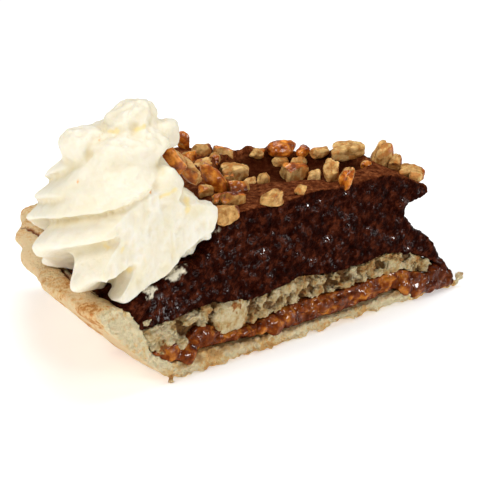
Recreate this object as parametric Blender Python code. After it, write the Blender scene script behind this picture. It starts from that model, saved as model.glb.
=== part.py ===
"""One slice of a chocolate mousse pie with a whipped cream rosette.

Lengths are in millimetres and MM turns them into metres. A place in the slice
is given by its radius from the pie's axis, its share across the slice (-1 at
the near cut, +1 at the far cut) and its height above the level of the tin.
The origin is on the underside, below the middle of the slice. The rim of the
crust points to -X, the tip of the slice to +X and the near cut to -Y.
"""
import math
import random

import bmesh
import bpy
import numpy as np
from mathutils import Euler, Vector, noise

MM = 0.001

# --- the slice: an eighth of a pie baked in a 9 inch tin ---------------------
HALF_ANGLE = math.radians(21.5)
AXIS_X = 61.4                  # the pie's axis from the middle of the slice
AXIS_Y = 0.6
TIP_HALF_WIDTH = 0.8           # the tip is cut blunt
TIN_LEVEL = 0.9                # of the heights below, above the crust's underside
GAP = 0.35                     # between two layers that touch
WALL_GAP = 0.6                 # level gap between a layer's end and the sloping wall
CELLS_ACROSS = 14
STATION_STEP = 4.5
STATIONS = [6.0 + STATION_STEP * i for i in range(21)]
OUTER_STATIONS = [100.5, 104.5]
RIM_STATION = 107.5
OUTER_LEVEL = 15.0             # the outer stations follow the wall at this height

# --- heights along the near cut, as (radius, height) -------------------------
CRUST_TOP = [(-3, 1.0), (0, 1.1), (12, 2.6), (22, 3.5), (42, 2.4), (62, 2.8), (78, 3.7),
             (91, 5.0), (96, 3.7), (101, 4.3)]
FILLING_TOP = [(0, 2.4), (2.5, 3.2), (9, 5.0), (21, 9.2), (40, 8.2), (58, 9.1), (69, 7.7),
               (77, 6.6), (84, 8.8), (91, 11.4), (96, 9.0), (108, 8.4)]
NUT_LAYER_TOP = [(0, 3.9), (2.5, 4.6), (9, 8.8), (16, 13.0), (27, 15.2), (34, 13.9), (47, 14.4),
                 (58, 16.3), (66, 14.6), (76, 14.2), (87, 16.3), (98, 15.7), (111, 14.9)]
MOUSSE_TOP = [(8, 29.6), (12, 31.7), (20, 35.5), (26, 37.6), (34, 38.2), (43, 37.6), (51, 38.8),
              (64, 38.5), (80, 38.8), (85, 36.0), (91, 29.8), (100, 27.7), (110, 25.2), (116, 21.8)]

# --- the crust's wall, from the floor up to the crest, as (radius, height) ---
WALL_OUTSIDE = [(99.4, -TIN_LEVEL), (103.7, 1.4), (107.8, 5.0), (111.5, 8.5), (115.7, 12.5),
                (120.4, 17.2), (123.4, 20.3), (123.2, 22.0), (120.8, 22.9)]
WALL_INSIDE = [(100.5, 4.2), (103.7, 5.8), (107.1, 8.8), (108.9, 12.4), (110.2, 15.6),
               (112.1, 19.1), (114.0, 21.2), (115.9, 22.4), (118.4, 23.0)]
CREST_HEIGHT = 23.0
RIM_SKEW = 4.6                 # how much nearer the axis the rim is at the far cut
FLUTES = 9
FLUTE_DEPTH = 0.7
CREST_BAND = 1.4               # only this much below the crest rises and falls
CREST_WAVE = 0.8

# --- the tip's front, scooped out under a lip, from bottom to top ------------
CRUST_TIP = -2.4
FILLING_TIP = 0.9
NUT_LAYER_TIP = 2.4
MOUSSE_TIP = [(1.8, 4.7), (3.6, 7.5), (5.4, 9.9), (9.6, 15.9), (14.5, 18.7), (17.0, 21.3),
              (20.2, 24.8), (20.4, 27.2), (16.5, 28.3), (12.0, 28.6), (10.9, 30.4), (12.4, 31.9)]
TIP_REACH = 34.0               # where the rows behind the scoop run level again

# --- the spoon-shaped hollow in the mousse's top -----------------------------
HOLLOW_RADIUS = 46.0
HOLLOW_ACROSS = 0.22
HOLLOW_LENGTH = 22.0
HOLLOW_WIDTH = 0.72
HOLLOW_DEPTH = 5.5
HOLLOW_STEEPNESS = 0.55        # nearer 0, the wall is steeper and the floor flatter

# --- the whipped cream: a star-piped rosette cut flush with the near cut -----
CREAM_FROM_AXIS = 101.0        # its middle, measured along the near cut
CREAM_BEHIND_CUT = 19.5
CREAM_OUTLINE = [(20, 22.5), (26, 22.5), (34, 23.8), (38, 24.0), (42, 21.8), (46, 20.0),
                 (50, 17.8), (54, 15.0), (58.5, 14.0), (60.2, 9.0), (62, 6.6), (64, 5.6), (66.3, 3.4)]
CREAM_HEIGHT = 67.0
CREAM_LEAN = 5.0               # how far the peak leans towards the tip
LEAN_START = 54.0
CREAM_GAP = 0.6
RIDGES = [15, 66, 113, 160, 210, 273, 312]      # their azimuths where the turn is 0
RIDGE_TURN = [(20, -83), (38, 0), (49, 99), (58, 138), (68, 190)]
RIDGE_DEPTH = 0.25
RIDGE_DROOP = 1.6              # how far a ridge hangs below its groove
GROOVE_SHARPNESS = 1.7
GROOVE_SKEW = 1.5              # above 1, a groove's bottom is nearer the next ridge
GROOVE_DEPTHS = [1.0, 0.9, 0.5, 1.2, 0.85, 0.9, 0.9]      # after each of the ridges
GROOVE_FADES = [0.8, 0.8, 0.7, 0.1, 0.0, 0.0, 0.0]        # how much each fades in front
SMOOTH_FRONT = (198, 228, 275, 300)       # the azimuths between which grooves fade
SMOOTH_HEIGHTS = (38, 44, 60, 64)
FOOT_DEPTH = 1.3               # how much deeper the grooves are at the foot
FOOT_HEIGHT = 31.0
SPREAD = 0.30                  # how much wider the rosette is towards the near cut
SPREAD_AZIMUTH = 262
SPREAD_TOP = 54.0
SPREAD_FADE = 5.0
SPREAD_FOOT = (23.0, 32.0)     # the heights between which the spread begins
DROOP_FOOT = (24.0, 32.0)      # and those between which the droop begins
# swells and dents: azimuth, height, half width in degrees, half height, how far out
CREAM_SWELLS = [(200, 55.5, 18, 3.4, -2.6), (236, 55.0, 12, 6.0, 1.0), (307, 45.0, 5, 5.0, -3.0),
                (328, 41.0, 13, 5.0, 1.4), (292, 33.0, 9, 8.0, -0.8), (250, 61.0, 30, 1.6, -1.6),
                (352, 51.5, 40, 6.0, -7.4), (354, 45.0, 32, 3.6, -5.0), (346, 39.5, 22, 3.5, -2.5),
                (190, 24.0, 22, 3.0, -4.5), (252, 25.0, 12, 5.0, 2.5), (231, 25.0, 5, 5.0, -4.0)]
# how far from the rosette's middle to the tip, behind the cut, height, half sizes, tilt
CREAM_LUMPS = [(1.0, 18.2, 62.5, (5.1, 4.6, 3.0), -24), (8.8, 13.1, 58.6, (3.1, 3.4, 3.4), 0),
               (0.8, 2.6, 49.6, (4.2, 2.6, 2.3), -38), (11.6, 2.8, 38.2, (2.9, 2.8, 4.8), 12),
               (-9.4, 21.5, 55.4, (4.8, 4.6, 5.6), -4)]
LUMP_SQUARENESS = 0.5          # 1 is round, 0 a box
COLUMNS_PER_RIDGE = 6
COLUMN_STEP = 1.5              # degrees that two columns are apart at the least
SIDE_ROWS = 22
SHELL_BOTTOM = 20.0            # below all that the cream lies on
GROUND_CELLS = 18
GROUND_CELL = 4.0
BLOCK_SIZE = 300.0             # of the block that takes off what lies beyond the cut

# --- the chopped pecans on top -----------------------------------------------
# radius, share across, length, width, height and turn of the ones the camera sees
CHOPPED_NUTS = [
    (74.6, 0.94, 3.8, 2.7, 6.9, 0), (79.7, 0.43, 5.6, 2.8, 7.0, 60), (77.3, 0.14, 4.6, 2.3, 7.6, 20),
    (69.6, 0.78, 5.4, 3.9, 4.2, 15), (63.4, 0.80, 7.0, 5.0, 3.9, 0), (62.5, 0.42, 8.2, 5.9, 5.2, 10),
    (71.4, 0.22, 6.0, 4.3, 5.0, 40), (74.6, -0.38, 9.4, 4.2, 4.6, 340),
    (68.7, -0.46, 6.8, 4.9, 4.0, 5), (59.8, 0.05, 4.2, 3.0, 4.2, 30), (54.4, 0.28, 6.4, 3.2, 3.6, 50),
    (76.3, -0.79, 7.2, 5.2, 4.4, 20), (80.2, -0.46, 4.2, 3.0, 3.6, 0),
    (79.9, -0.69, 4.9, 3.5, 3.2, 35), (82.3, -0.88, 7.0, 5.0, 6.3, 10), (54.5, 0.86, 5.2, 3.7, 3.2, 0),
    (47.6, 0.95, 8.4, 6.0, 4.9, 5), (42.1, 0.94, 4.4, 3.2, 4.0, 30), (48.3, 0.82, 4.4, 3.2, 2.9, 15),
    (43.2, 0.82, 5.4, 3.9, 3.6, 50), (45.7, 0.46, 8.0, 5.8, 6.4, 25), (40.2, 0.36, 5.0, 3.6, 4.4, 0),
    (41.4, -0.58, 6.6, 4.8, 7.2, 70), (37.5, 0.88, 5.2, 3.7, 3.2, 0), (30.2, 0.82, 9.6, 6.9, 5.0, 350),
    (69.6, -0.97, 7.6, 5.5, 5.8, 40), (57.6, -0.95, 3.8, 2.7, 3.2, 0),
    (41.4, -0.93, 5.2, 3.7, 6.0, 60), (26.0, 0.20, 3.2, 2.3, 3.2, 0), (20.8, 0.72, 6.4, 5.1, 8.8, 20),
    (17.0, 0.68, 4.8, 3.8, 5.2, 45), (13.4, 0.22, 7.4, 5.3, 5.0, 350), (14.2, -0.55, 3.6, 2.6, 3.6, 0),
    (66.0, 0.02, 5.0, 3.6, 3.4, 75), (74.0, 0.55, 5.2, 3.7, 4.0, 110), (66.8, 0.55, 4.6, 3.3, 3.4, 60)]
HIDDEN_NUTS = 12               # behind the cream, out of the camera's sight
HIDDEN_RADII = (66.0, 98.0)
HIDDEN_ACROSS = (0.45, 0.92)
HIDDEN_LENGTH = (4.5, 7.5)
NUT_SEED = 7
NUT_CORNERS = 12
NUT_SINK = 0.25                # the share of its height that a nut has sunk in
NUT_CLEARANCE = 0.5            # between a nut and the cream


def clear_scene():
    for thing in list(bpy.data.objects):
        bpy.data.objects.remove(thing, do_unlink=True)


def material(name, colour, roughness):
    made = bpy.data.materials.new(name)
    made.use_nodes = True
    shader = made.node_tree.nodes["Principled BSDF"]
    shader.inputs["Base Color"].default_value = (*colour, 1.0)
    shader.inputs["Roughness"].default_value = roughness
    shader.inputs["Metallic"].default_value = 0.0
    made.diffuse_color = (*colour, 1.0)
    return made


def add_object(name, mesh_data, finish):
    thing = bpy.data.objects.new(name, mesh_data)
    bpy.context.scene.collection.objects.link(thing)
    mesh_data.materials.append(finish)
    return thing


# --- places and heights ------------------------------------------------------
def half_width(radius):
    """Half the slice's width at a radius, blunt at the tip."""
    edge = radius * math.sin(HALF_ANGLE)
    return (edge + math.sqrt(edge * edge + 4 * TIP_HALF_WIDTH ** 2)) / 2


def place(radius, across, height, inset=0.0):
    """The point at a radius, a share across and a height, with the cuts set in by inset."""
    angle = across * HALF_ANGLE
    y = half_width(radius) * math.sin(angle) / math.sin(HALF_ANGLE)
    return slice_point(-radius * math.cos(angle), y - inset * across, height)


def slice_point(x, y, height):
    """A point given from the pie's axis at the level of the tin."""
    return Vector((AXIS_X + x, AXIS_Y + y, TIN_LEVEL + height)) * MM


def along(profile, radius):
    """The height of a profile at a radius."""
    radii, heights = zip(*profile)
    return float(np.interp(radius, radii, heights))


def step_up(value, low, high):
    """From 0 below low to 1 above high, with soft ends."""
    share = min(1.0, max(0.0, (value - low) / (high - low)))
    return share * share * (3 - 2 * share)


def swell(radius, across, seed, size):
    """A slow swell that is nothing at the near cut, where the profiles hold."""
    wave = noise.noise(Vector((radius / 17, across * 1.6, seed)))
    return size * wave * (1 + across) / 2


def crust_top(radius, across):
    return along(CRUST_TOP, radius) + swell(radius, across, 1.0, 0.8)


def filling_top(radius, across):
    return along(FILLING_TOP, radius) + swell(radius, across, 2.0, 1.5)


def nut_layer_top(radius, across):
    return along(NUT_LAYER_TOP, radius) + swell(radius, across, 3.0, 1.8)


def hollow(radius, across):
    """How deep the spoon mark is, with a steep wall all round."""
    x = (radius - HOLLOW_RADIUS) / HOLLOW_LENGTH
    y = (across - HOLLOW_ACROSS) / HOLLOW_WIDTH
    inside = max(0.0, 1 - x * x - y * y)
    return HOLLOW_DEPTH * inside ** HOLLOW_STEEPNESS


def mousse_top(radius, across):
    level = along(MOUSSE_TOP, radius) + swell(radius, across, 4.0, 2.0)
    return level - hollow(radius, across)


def rim_shift(height, across):
    """The rim is not quite round: it comes nearer the axis towards the far cut."""
    return -RIM_SKEW * (1 + across) / 2 * height / CREST_HEIGHT


def wall_inside(height, across):
    """The radius of the crust's inner wall at a height."""
    heights, radii = zip(*[(z, radius) for radius, z in WALL_INSIDE])
    return float(np.interp(height, heights, radii)) + rim_shift(height, across)


def flute(across):
    """The rim's flutes, uneven as pressed by hand."""
    wave = math.sin(across * math.pi * FLUTES / 2 + 0.8)
    return FLUTE_DEPTH * (wave + 1.2 * noise.noise(Vector((across * 4, 5.0, 0.0))))


# --- closed blocks of quads --------------------------------------------------
def lattice_faces(u_count, v_count, w_count):
    """The outside quads of a box of cells, as corners (u, v, w), facing out."""
    sides = []
    for u in range(u_count):
        for v in range(v_count):
            low = [(u, v, 0), (u, v + 1, 0), (u + 1, v + 1, 0), (u + 1, v, 0)]
            sides.append(low)
            sides.append([(a, b, w_count) for a, b, _ in reversed(low)])
    for u in range(u_count):
        for w in range(w_count):
            near = [(u, 0, w), (u + 1, 0, w), (u + 1, 0, w + 1), (u, 0, w + 1)]
            sides.append(near)
            sides.append([(a, v_count, c) for a, _, c in reversed(near)])
    for v in range(v_count):
        for w in range(w_count):
            front = [(0, v, w), (0, v, w + 1), (0, v + 1, w + 1), (0, v + 1, w)]
            sides.append(front)
            sides.append([(u_count, b, c) for _, b, c in reversed(front)])
    return sides


def block(name, counts, spot, finish):
    """A closed solid whose lattice point (u, v, w) lies at spot(u, v, w)."""
    bm = bmesh.new()
    verts = {}
    for corners in lattice_faces(*counts):
        for corner in corners:
            if corner not in verts:
                verts[corner] = bm.verts.new(spot(*corner))
        bm.faces.new([verts[corner] for corner in corners])
    return finish_mesh(name, bm, finish)


def settle(bm):
    """Split the faces into triangles that all face out."""
    bmesh.ops.triangulate(bm, faces=bm.faces[:])
    bmesh.ops.recalc_face_normals(bm, faces=bm.faces[:])
    if bm.calc_volume(signed=True) < 0:
        bmesh.ops.reverse_faces(bm, faces=bm.faces[:])


def finish_mesh(name, bm, finish):
    settle(bm)
    mesh_data = bpy.data.meshes.new(name)
    bm.to_mesh(mesh_data)
    bm.free()
    return add_object(name, mesh_data, finish)


def share_across(v):
    return 2 * v / CELLS_ACROSS - 1


def near_wall(radii, across):
    """Stations beyond the common ones, which follow the wall's own shift."""
    return [radius + rim_shift(OUTER_LEVEL, across) for radius in radii]


def cut_relief(radius, across, height, seed, size):
    """How far the rough cut face on this side is set in."""
    point = Vector((radius / 3.1, height / 2.6, seed + math.copysign(1, across)))
    return size * (0.5 + noise.noise(point))


def layer(name, outer, tip, bottom, top, rows, roughness, finish):
    """A layer between two heights, from its tip out to the crust's wall."""
    columns = 1 + len(STATIONS) + len(outer)

    def spot(u, v, w):
        across = share_across(v)
        share = w / rows
        if u < columns:
            radius = ([tip] + STATIONS + near_wall(outer, across))[u]
        else:
            radius = outer_end(bottom, top, share, across)
        height = mix(bottom(radius, across) + GAP, top(radius, across), share)
        inset, seed, size = roughness
        inset += cut_relief(radius, across, height, seed, size)
        return place(radius, across, height, inset if radius > 10 else 0.0)
    return block(name, (columns, CELLS_ACROSS, rows), spot, finish)


def mix(low, high, share):
    return low + (high - low) * share


def outer_end(bottom, top, share, across):
    """The radius where a layer's row meets the crust's wall, less the gap."""
    radius = RIM_STATION
    for _ in range(6):
        height = mix(bottom(radius, across) + GAP, top(radius, across), share)
        radius = wall_inside(height, across) - WALL_GAP
    return radius


# --- the pieces --------------------------------------------------------------
def make_crust():
    """The floor and the wall, one sheet of pastry with its rounded crest."""
    floor = [CRUST_TIP] + STATIONS
    columns = len(floor) + len(WALL_OUTSIDE)

    def spot(u, v, w):
        across = share_across(v)
        if u < len(floor):
            radius = floor[u]
            height = crust_top(radius, across) if w else -TIN_LEVEL
            return place(radius, across, height)
        step = u - len(floor)
        radius, height = (WALL_INSIDE if w else WALL_OUTSIDE)[step]
        radius += rim_shift(height, across)
        if not w:
            radius += flute(across) * (height / CREST_HEIGHT) ** 3
        crest_share = max(0.0, 1 - (CREST_HEIGHT - height) / CREST_BAND)
        height += CREST_WAVE * crest_share * noise.noise(Vector((across * 5, 9.0, 0.0)))
        return place(radius, across, height)
    finish = material("baked_crust", (0.74, 0.52, 0.28), 0.75)
    return block("crust", (columns - 1, CELLS_ACROSS, 1), spot, finish)


def make_filling():
    finish = material("pecan_filling", (0.24, 0.06, 0.015), 0.2)
    return layer("filling", [], FILLING_TIP, crust_top, filling_top, 2,
                 (0.8, 11.0, 1.2), finish)


def make_nut_layer():
    finish = material("nut_layer", (0.55, 0.46, 0.28), 0.8)
    return layer("nut_layer", OUTER_STATIONS, NUT_LAYER_TIP, filling_top,
                 nut_layer_top, 3, (0.2, 12.0, 1.0), finish)


def mousse_spot(u, v, w):
    """A lattice point of the mousse: level rows that bend to the scooped tip."""
    across = share_across(v)
    tip_radius, tip_height = MOUSSE_TIP[w]
    share = w / (len(MOUSSE_TIP) - 1)
    radii = [MOUSSE_TIP[0][0]] + STATIONS + near_wall(OUTER_STATIONS + [RIM_STATION], across)
    if u == len(radii):
        radius = outer_end(nut_layer_top, mousse_top, share, across)
    else:
        bend = max(0.0, 1 - (radii[u] - radii[0]) / (TIP_REACH - radii[0]))
        radius = radii[u] + (tip_radius - radii[0]) * bend
        low = nut_layer_top(tip_radius, -1) + GAP
        tip_share = (tip_height - low) / (mousse_top(tip_radius, -1) - low)
        share = mix(share, min(1.0, max(0.0, tip_share)), bend)
        if w in (0, len(MOUSSE_TIP) - 1):
            share = w / (len(MOUSSE_TIP) - 1)
    height = mix(nut_layer_top(radius, across) + GAP, mousse_top(radius, across), share)
    inset = cut_relief(radius, across, height, 13.0, 0.6) if radius > 10 else 0.0
    return place(radius, across, height, inset)


def make_mousse():
    columns = len(STATIONS) + len(OUTER_STATIONS) + 2
    finish = material("chocolate_mousse", (0.06, 0.016, 0.008), 0.35)
    return block("mousse", (columns, CELLS_ACROSS, len(MOUSSE_TIP) - 1), mousse_spot, finish)


# --- the cream ---------------------------------------------------------------
def cream_middle(height=0.0):
    """The rosette's middle in the slice's frame, which leans near the top."""
    cut = Vector((-math.cos(HALF_ANGLE), -math.sin(HALF_ANGLE)))
    inward = Vector((-math.sin(HALF_ANGLE), math.cos(HALF_ANGLE)))
    middle = cut * CREAM_FROM_AXIS + inward * CREAM_BEHIND_CUT
    lean = CREAM_LEAN * max(0.0, height - LEAN_START) / (CREAM_HEIGHT - LEAN_START)
    return middle + Vector((lean, 0.0))


def ridge_columns():
    """Each column's azimuth, groove depth and how much that fades; it winds with its ridge."""
    columns = []
    ends = RIDGES[1:] + [RIDGES[0] + 360]
    for start, end, depth, fade in zip(RIDGES, ends, GROOVE_DEPTHS, GROOVE_FADES):
        for step in range(COLUMNS_PER_RIDGE):
            share = step / COLUMNS_PER_RIDGE
            groove = math.sin(math.pi * share ** GROOVE_SKEW) ** GROOVE_SHARPNESS
            columns.append((mix(start, end, share), depth * groove, fade))
    return columns


def front_share(azimuth, height):
    """1 on the rosette's smooth front, where its grooves fade, and 0 elsewhere."""
    left, full_left, full_right, right = SMOOTH_FRONT
    low, full_low, full_high, high = SMOOTH_HEIGHTS
    level = step_up(height, low, full_low) * (1 - step_up(height, full_high, high))
    return level * step_up(azimuth, left, full_left) * (1 - step_up(azimuth, full_right, right))


def cream_radius(height, groove=0.0, fade=0.0, azimuth=0.0):
    depth = RIDGE_DEPTH * (1 + FOOT_DEPTH * min(1.0, max(0.0, (FOOT_HEIGHT - height) / 8)))
    depth *= groove * (1 - fade * front_share(azimuth % 360, height))
    return along(CREAM_OUTLINE, height) * (1 - depth)


def swollen(radius, azimuth, height):
    """The radius with the swells and dents, wider towards the near cut."""
    for at, level, half, tall, out in CREAM_SWELLS:
        off = (azimuth - at + 180) % 360 - 180
        radius += out * math.exp(-(off / half) ** 2 - ((height - level) / tall) ** 2)
    facing = max(0.0, math.cos(math.radians(azimuth - SPREAD_AZIMUTH))) ** 2
    spread = min(1.0, max(0.0, (SPREAD_TOP - height) / SPREAD_FADE)) * step_up(height, *SPREAD_FOOT)
    return radius * (1 + SPREAD * facing * spread)


def cream_ring(height):
    """The points of the rosette's outside at a height; its ridges wind and droop."""
    fullness = min(1.0, (CREAM_HEIGHT - height) / 20) * step_up(height, *DROOP_FOOT)
    middle = cream_middle(height)
    ring = []
    last = -math.inf
    for azimuth, groove, fade in ridge_columns():
        level = height - 2 * RIDGE_DROOP * groove * fullness
        last = max(azimuth + along(RIDGE_TURN, level), last + COLUMN_STEP)
        radius = swollen(cream_radius(level, groove, fade, last), last, level)
        angle = math.radians(last)
        ring.append((middle.x + radius * math.cos(angle), middle.y + radius * math.sin(angle),
                     height))
    return ring


def ground(x, y):
    """The height of what the cream lies on, the mousse or the crust's crest."""
    radius = math.hypot(x, y)
    across = max(-1.0, min(1.0, math.atan2(y, -x) / HALF_ANGLE))
    crest = along([(111, 18.5), (114, 21.8), (117, 23.2)], radius - rim_shift(22, across))
    return max(mousse_top(min(radius, 115), across), crest if radius > 110 else 0.0)


def cream_shell():
    """A closed shell of rings, from below what the cream lies on up to the peak."""
    bm = bmesh.new()
    top = CREAM_OUTLINE[-1][0]
    rings = [cream_ring(mix(SHELL_BOTTOM, top, row / SIDE_ROWS)) for row in range(SIDE_ROWS + 1)]
    rings = [[bm.verts.new(slice_point(*spot)) for spot in ring] for ring in rings]
    count = len(rings[0])
    for lower, upper in zip(rings, rings[1:]):
        for i in range(count):
            j = (i + 1) % count
            bm.faces.new((lower[i], lower[j], upper[j], upper[i]))
    for ring, height in ((rings[0], SHELL_BOTTOM), (rings[-1], CREAM_HEIGHT)):
        pole = bm.verts.new(slice_point(*cream_middle(height), height))
        for i in range(count):
            bm.faces.new((ring[i], ring[(i + 1) % count], pole))
    return bm


def below_cream():
    """A block of all that the cream lies on, with its gap."""
    middle = cream_middle()

    def spot(u, v, w):
        x = middle.x + (u - GROUND_CELLS / 2) * GROUND_CELL
        y = middle.y + (v - GROUND_CELLS / 2) * GROUND_CELL
        return slice_point(x, y, ground(x, y) + CREAM_GAP if w else 0.0)
    finish = bpy.data.materials["whipped_cream"]
    return block("below_cream", (GROUND_CELLS, GROUND_CELLS, 1), spot, finish)


def cream_lump(index, tipward, behind, height, size, tilt):
    """A blunt lump of cream with its half sizes along the cut, behind it and up."""
    bm = bmesh.new()
    bmesh.ops.create_icosphere(bm, subdivisions=2, radius=1)
    turn = Euler((0, math.radians(tilt), HALF_ANGLE)).to_matrix()
    reach = CREAM_FROM_AXIS - tipward
    middle = Vector((-math.cos(HALF_ANGLE) * reach - math.sin(HALF_ANGLE) * behind,
                     -math.sin(HALF_ANGLE) * reach + math.cos(HALF_ANGLE) * behind, height))
    for vert in bm.verts:
        blunt = [math.copysign(abs(part) ** LUMP_SQUARENESS, part) * half
                 for part, half in zip(vert.co, size)]
        vert.co = slice_point(*(middle + turn @ Vector(blunt)))
    return finish_mesh(f"lump_{index}", bm, bpy.data.materials["whipped_cream"])


def beyond_cut():
    """A block of all that lies beyond the near cut."""
    bm = bmesh.new()
    bmesh.ops.create_cube(bm, size=BLOCK_SIZE)
    bm.transform(Euler((0, 0, HALF_ANGLE)).to_matrix().to_4x4())
    outward = Vector((math.sin(HALF_ANGLE), -math.cos(HALF_ANGLE), 0.0))
    for vert in bm.verts:
        vert.co = slice_point(*(vert.co + outward * BLOCK_SIZE / 2))
    return finish_mesh("beyond_cut", bm, bpy.data.materials["whipped_cream"])


def make_cream():
    """The piped rosette with its loose lumps, cut flush with the near cut."""
    finish = material("whipped_cream", (0.9, 0.85, 0.7), 0.5)
    cream = finish_mesh("whipped_cream", cream_shell(), finish)
    combine(cream, [cream_lump(i, *lump) for i, lump in enumerate(CREAM_LUMPS)], "UNION")
    combine(cream, [below_cream(), beyond_cut()], "DIFFERENCE")
    drop_scraps(cream)


def body_of(vert):
    """All the vertices joined to this one by edges."""
    found, waiting = {vert}, [vert]
    while waiting:
        for edge in waiting.pop().link_edges:
            for other in edge.verts:
                if other not in found:
                    found.add(other)
                    waiting.append(other)
    return found


def drop_scraps(thing):
    """Keep the largest body of a solid."""
    bm = bmesh.new()
    bm.from_mesh(thing.data)
    left = set(bm.verts)
    bodies = []
    while left:
        bodies.append(body_of(next(iter(left))))
        left -= bodies[-1]
    bodies.sort(key=len)
    for scrap in bodies[:-1]:
        bmesh.ops.delete(bm, geom=list(scrap), context="VERTS")
    settle(bm)
    bm.to_mesh(thing.data)
    bm.free()


# --- the chopped nuts --------------------------------------------------------
def clear_of_cream(radius, across, size):
    """Move a nut's middle away from the rosette until it is clear of it."""
    angle = across * HALF_ANGLE
    x, y = -radius * math.cos(angle), radius * math.sin(angle)
    middle = cream_middle()
    away = Vector((x, y)) - middle
    wanted = cream_radius(mousse_top(radius, across)) + size / 2 + NUT_CLEARANCE
    if away.length < wanted:
        x, y = middle + away.normalized() * wanted
    return x, y


def nut_mesh(length, width, height, draw):
    """A crag of chopped nut: the hull of random corners on a blunt box."""
    bm = bmesh.new()
    for _ in range(NUT_CORNERS):
        way = Vector([draw.uniform(-1, 1) for _ in range(3)])
        way /= max(abs(way.x), abs(way.y), abs(way.z)) ** 0.7 * way.length ** 0.3
        bm.verts.new((way.x * length / 2, way.y * width / 2, way.z * height / 2))
    bmesh.ops.convex_hull(bm, input=bm.verts[:])
    inner = [vert for vert in bm.verts if not vert.link_faces]
    bmesh.ops.delete(bm, geom=inner, context="VERTS")
    return bm


def make_nut(index, radius, across, length, width, height, turn, draw):
    x, y = clear_of_cream(radius, across, length)
    level = mousse_top(math.hypot(x, y), math.atan2(y, -x) / HALF_ANGLE)
    bm = nut_mesh(length, width, height, draw)
    bmesh.ops.triangulate(bm, faces=bm.faces[:])
    tilt = Euler((draw.uniform(-0.3, 0.3), draw.uniform(-0.3, 0.3), math.radians(turn)))
    bm.transform(tilt.to_matrix().to_4x4())
    for vert in bm.verts:
        vert.co = slice_point(vert.co.x + x, vert.co.y + y,
                              vert.co.z + level + height * (0.5 - NUT_SINK))
    finish = bpy.data.materials["chocolate_mousse"]
    return finish_mesh(f"nut_{index:02d}", bm, finish)


def make_nuts():
    draw = random.Random(NUT_SEED)
    nuts = [make_nut(i, *spot, draw) for i, spot in enumerate(CHOPPED_NUTS)]
    for i in range(HIDDEN_NUTS):
        radius = draw.uniform(*HIDDEN_RADII)
        across = draw.uniform(*HIDDEN_ACROSS)
        length = draw.uniform(*HIDDEN_LENGTH)
        height = length * draw.uniform(0.5, 0.8)
        turn = draw.uniform(0, 360)
        nuts.append(make_nut(len(nuts), radius, across, length, 0.72 * length, height, turn, draw))
    return nuts


def combine(body, bits, operation):
    """Join the loose bits to the body, or take them off it, as one closed solid."""
    together = bpy.data.collections.new("loose_bits")
    bpy.context.scene.collection.children.link(together)
    for bit in bits:
        bpy.context.scene.collection.objects.unlink(bit)
        together.objects.link(bit)
    change = body.modifiers.new("combine", "BOOLEAN")
    change.operation = operation
    change.operand_type = "COLLECTION"
    change.collection = together
    change.solver = "EXACT"
    change.use_self = True
    with bpy.context.temp_override(object=body, active_object=body):
        bpy.ops.object.modifier_apply(modifier=change.name)
    for bit in bits:
        bpy.data.objects.remove(bit, do_unlink=True)
    bpy.data.collections.remove(together)


def main():
    clear_scene()
    make_crust()
    make_filling()
    make_nut_layer()
    mousse = make_mousse()
    make_cream()
    combine(mousse, make_nuts(), "UNION")
    drop_scraps(mousse)


main()
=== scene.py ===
"""The looks of one slice of chocolate mousse pie with a whipped cream rosette.

Lengths are in millimetres unless a name says otherwise, and MM turns them into
metres. A place in the slice is given by its radius from the pie's axis, its
share across the slice (-1 at the near cut, +1 at the far cut) and its height
above the level of the tin, as in the part.
"""
import math
import random

import bpy
import numpy as np
from mathutils import Euler, Matrix, Vector, noise


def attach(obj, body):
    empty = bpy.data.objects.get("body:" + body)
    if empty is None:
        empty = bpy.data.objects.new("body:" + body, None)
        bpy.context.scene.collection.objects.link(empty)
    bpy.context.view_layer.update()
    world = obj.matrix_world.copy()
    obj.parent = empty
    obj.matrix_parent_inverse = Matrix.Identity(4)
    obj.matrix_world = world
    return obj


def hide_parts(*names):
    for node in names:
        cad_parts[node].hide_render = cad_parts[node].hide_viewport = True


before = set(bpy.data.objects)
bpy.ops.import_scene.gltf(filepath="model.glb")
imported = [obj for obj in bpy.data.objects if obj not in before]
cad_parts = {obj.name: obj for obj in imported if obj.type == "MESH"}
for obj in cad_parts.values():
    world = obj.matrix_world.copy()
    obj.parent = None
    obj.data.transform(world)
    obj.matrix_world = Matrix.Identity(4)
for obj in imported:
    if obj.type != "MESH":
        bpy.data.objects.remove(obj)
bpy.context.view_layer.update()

MM = 0.001

# --- the slice, with the part's own sizes apart from WALL_GAP -----------------
CUT_TURN = 21.5                # degrees from the middle of the slice to a cut
HALF_ANGLE = math.radians(CUT_TURN)
CUT_SIN, CUT_COS = math.sin(HALF_ANGLE), math.cos(HALF_ANGLE)
AXIS_X = 61.4                  # the pie's axis from the middle of the slice
AXIS_Y = 0.6
TIP_HALF_WIDTH = 0.8
TIN_LEVEL = 0.9
GAP = 0.35
WALL_GAP = -0.6                # below 0: the layers reach into the wall, so no gap shows
STATION_STEP = 4.5
STATIONS = [6.0 + STATION_STEP * i for i in range(21)]
RIM_STATION = 107.5
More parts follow.
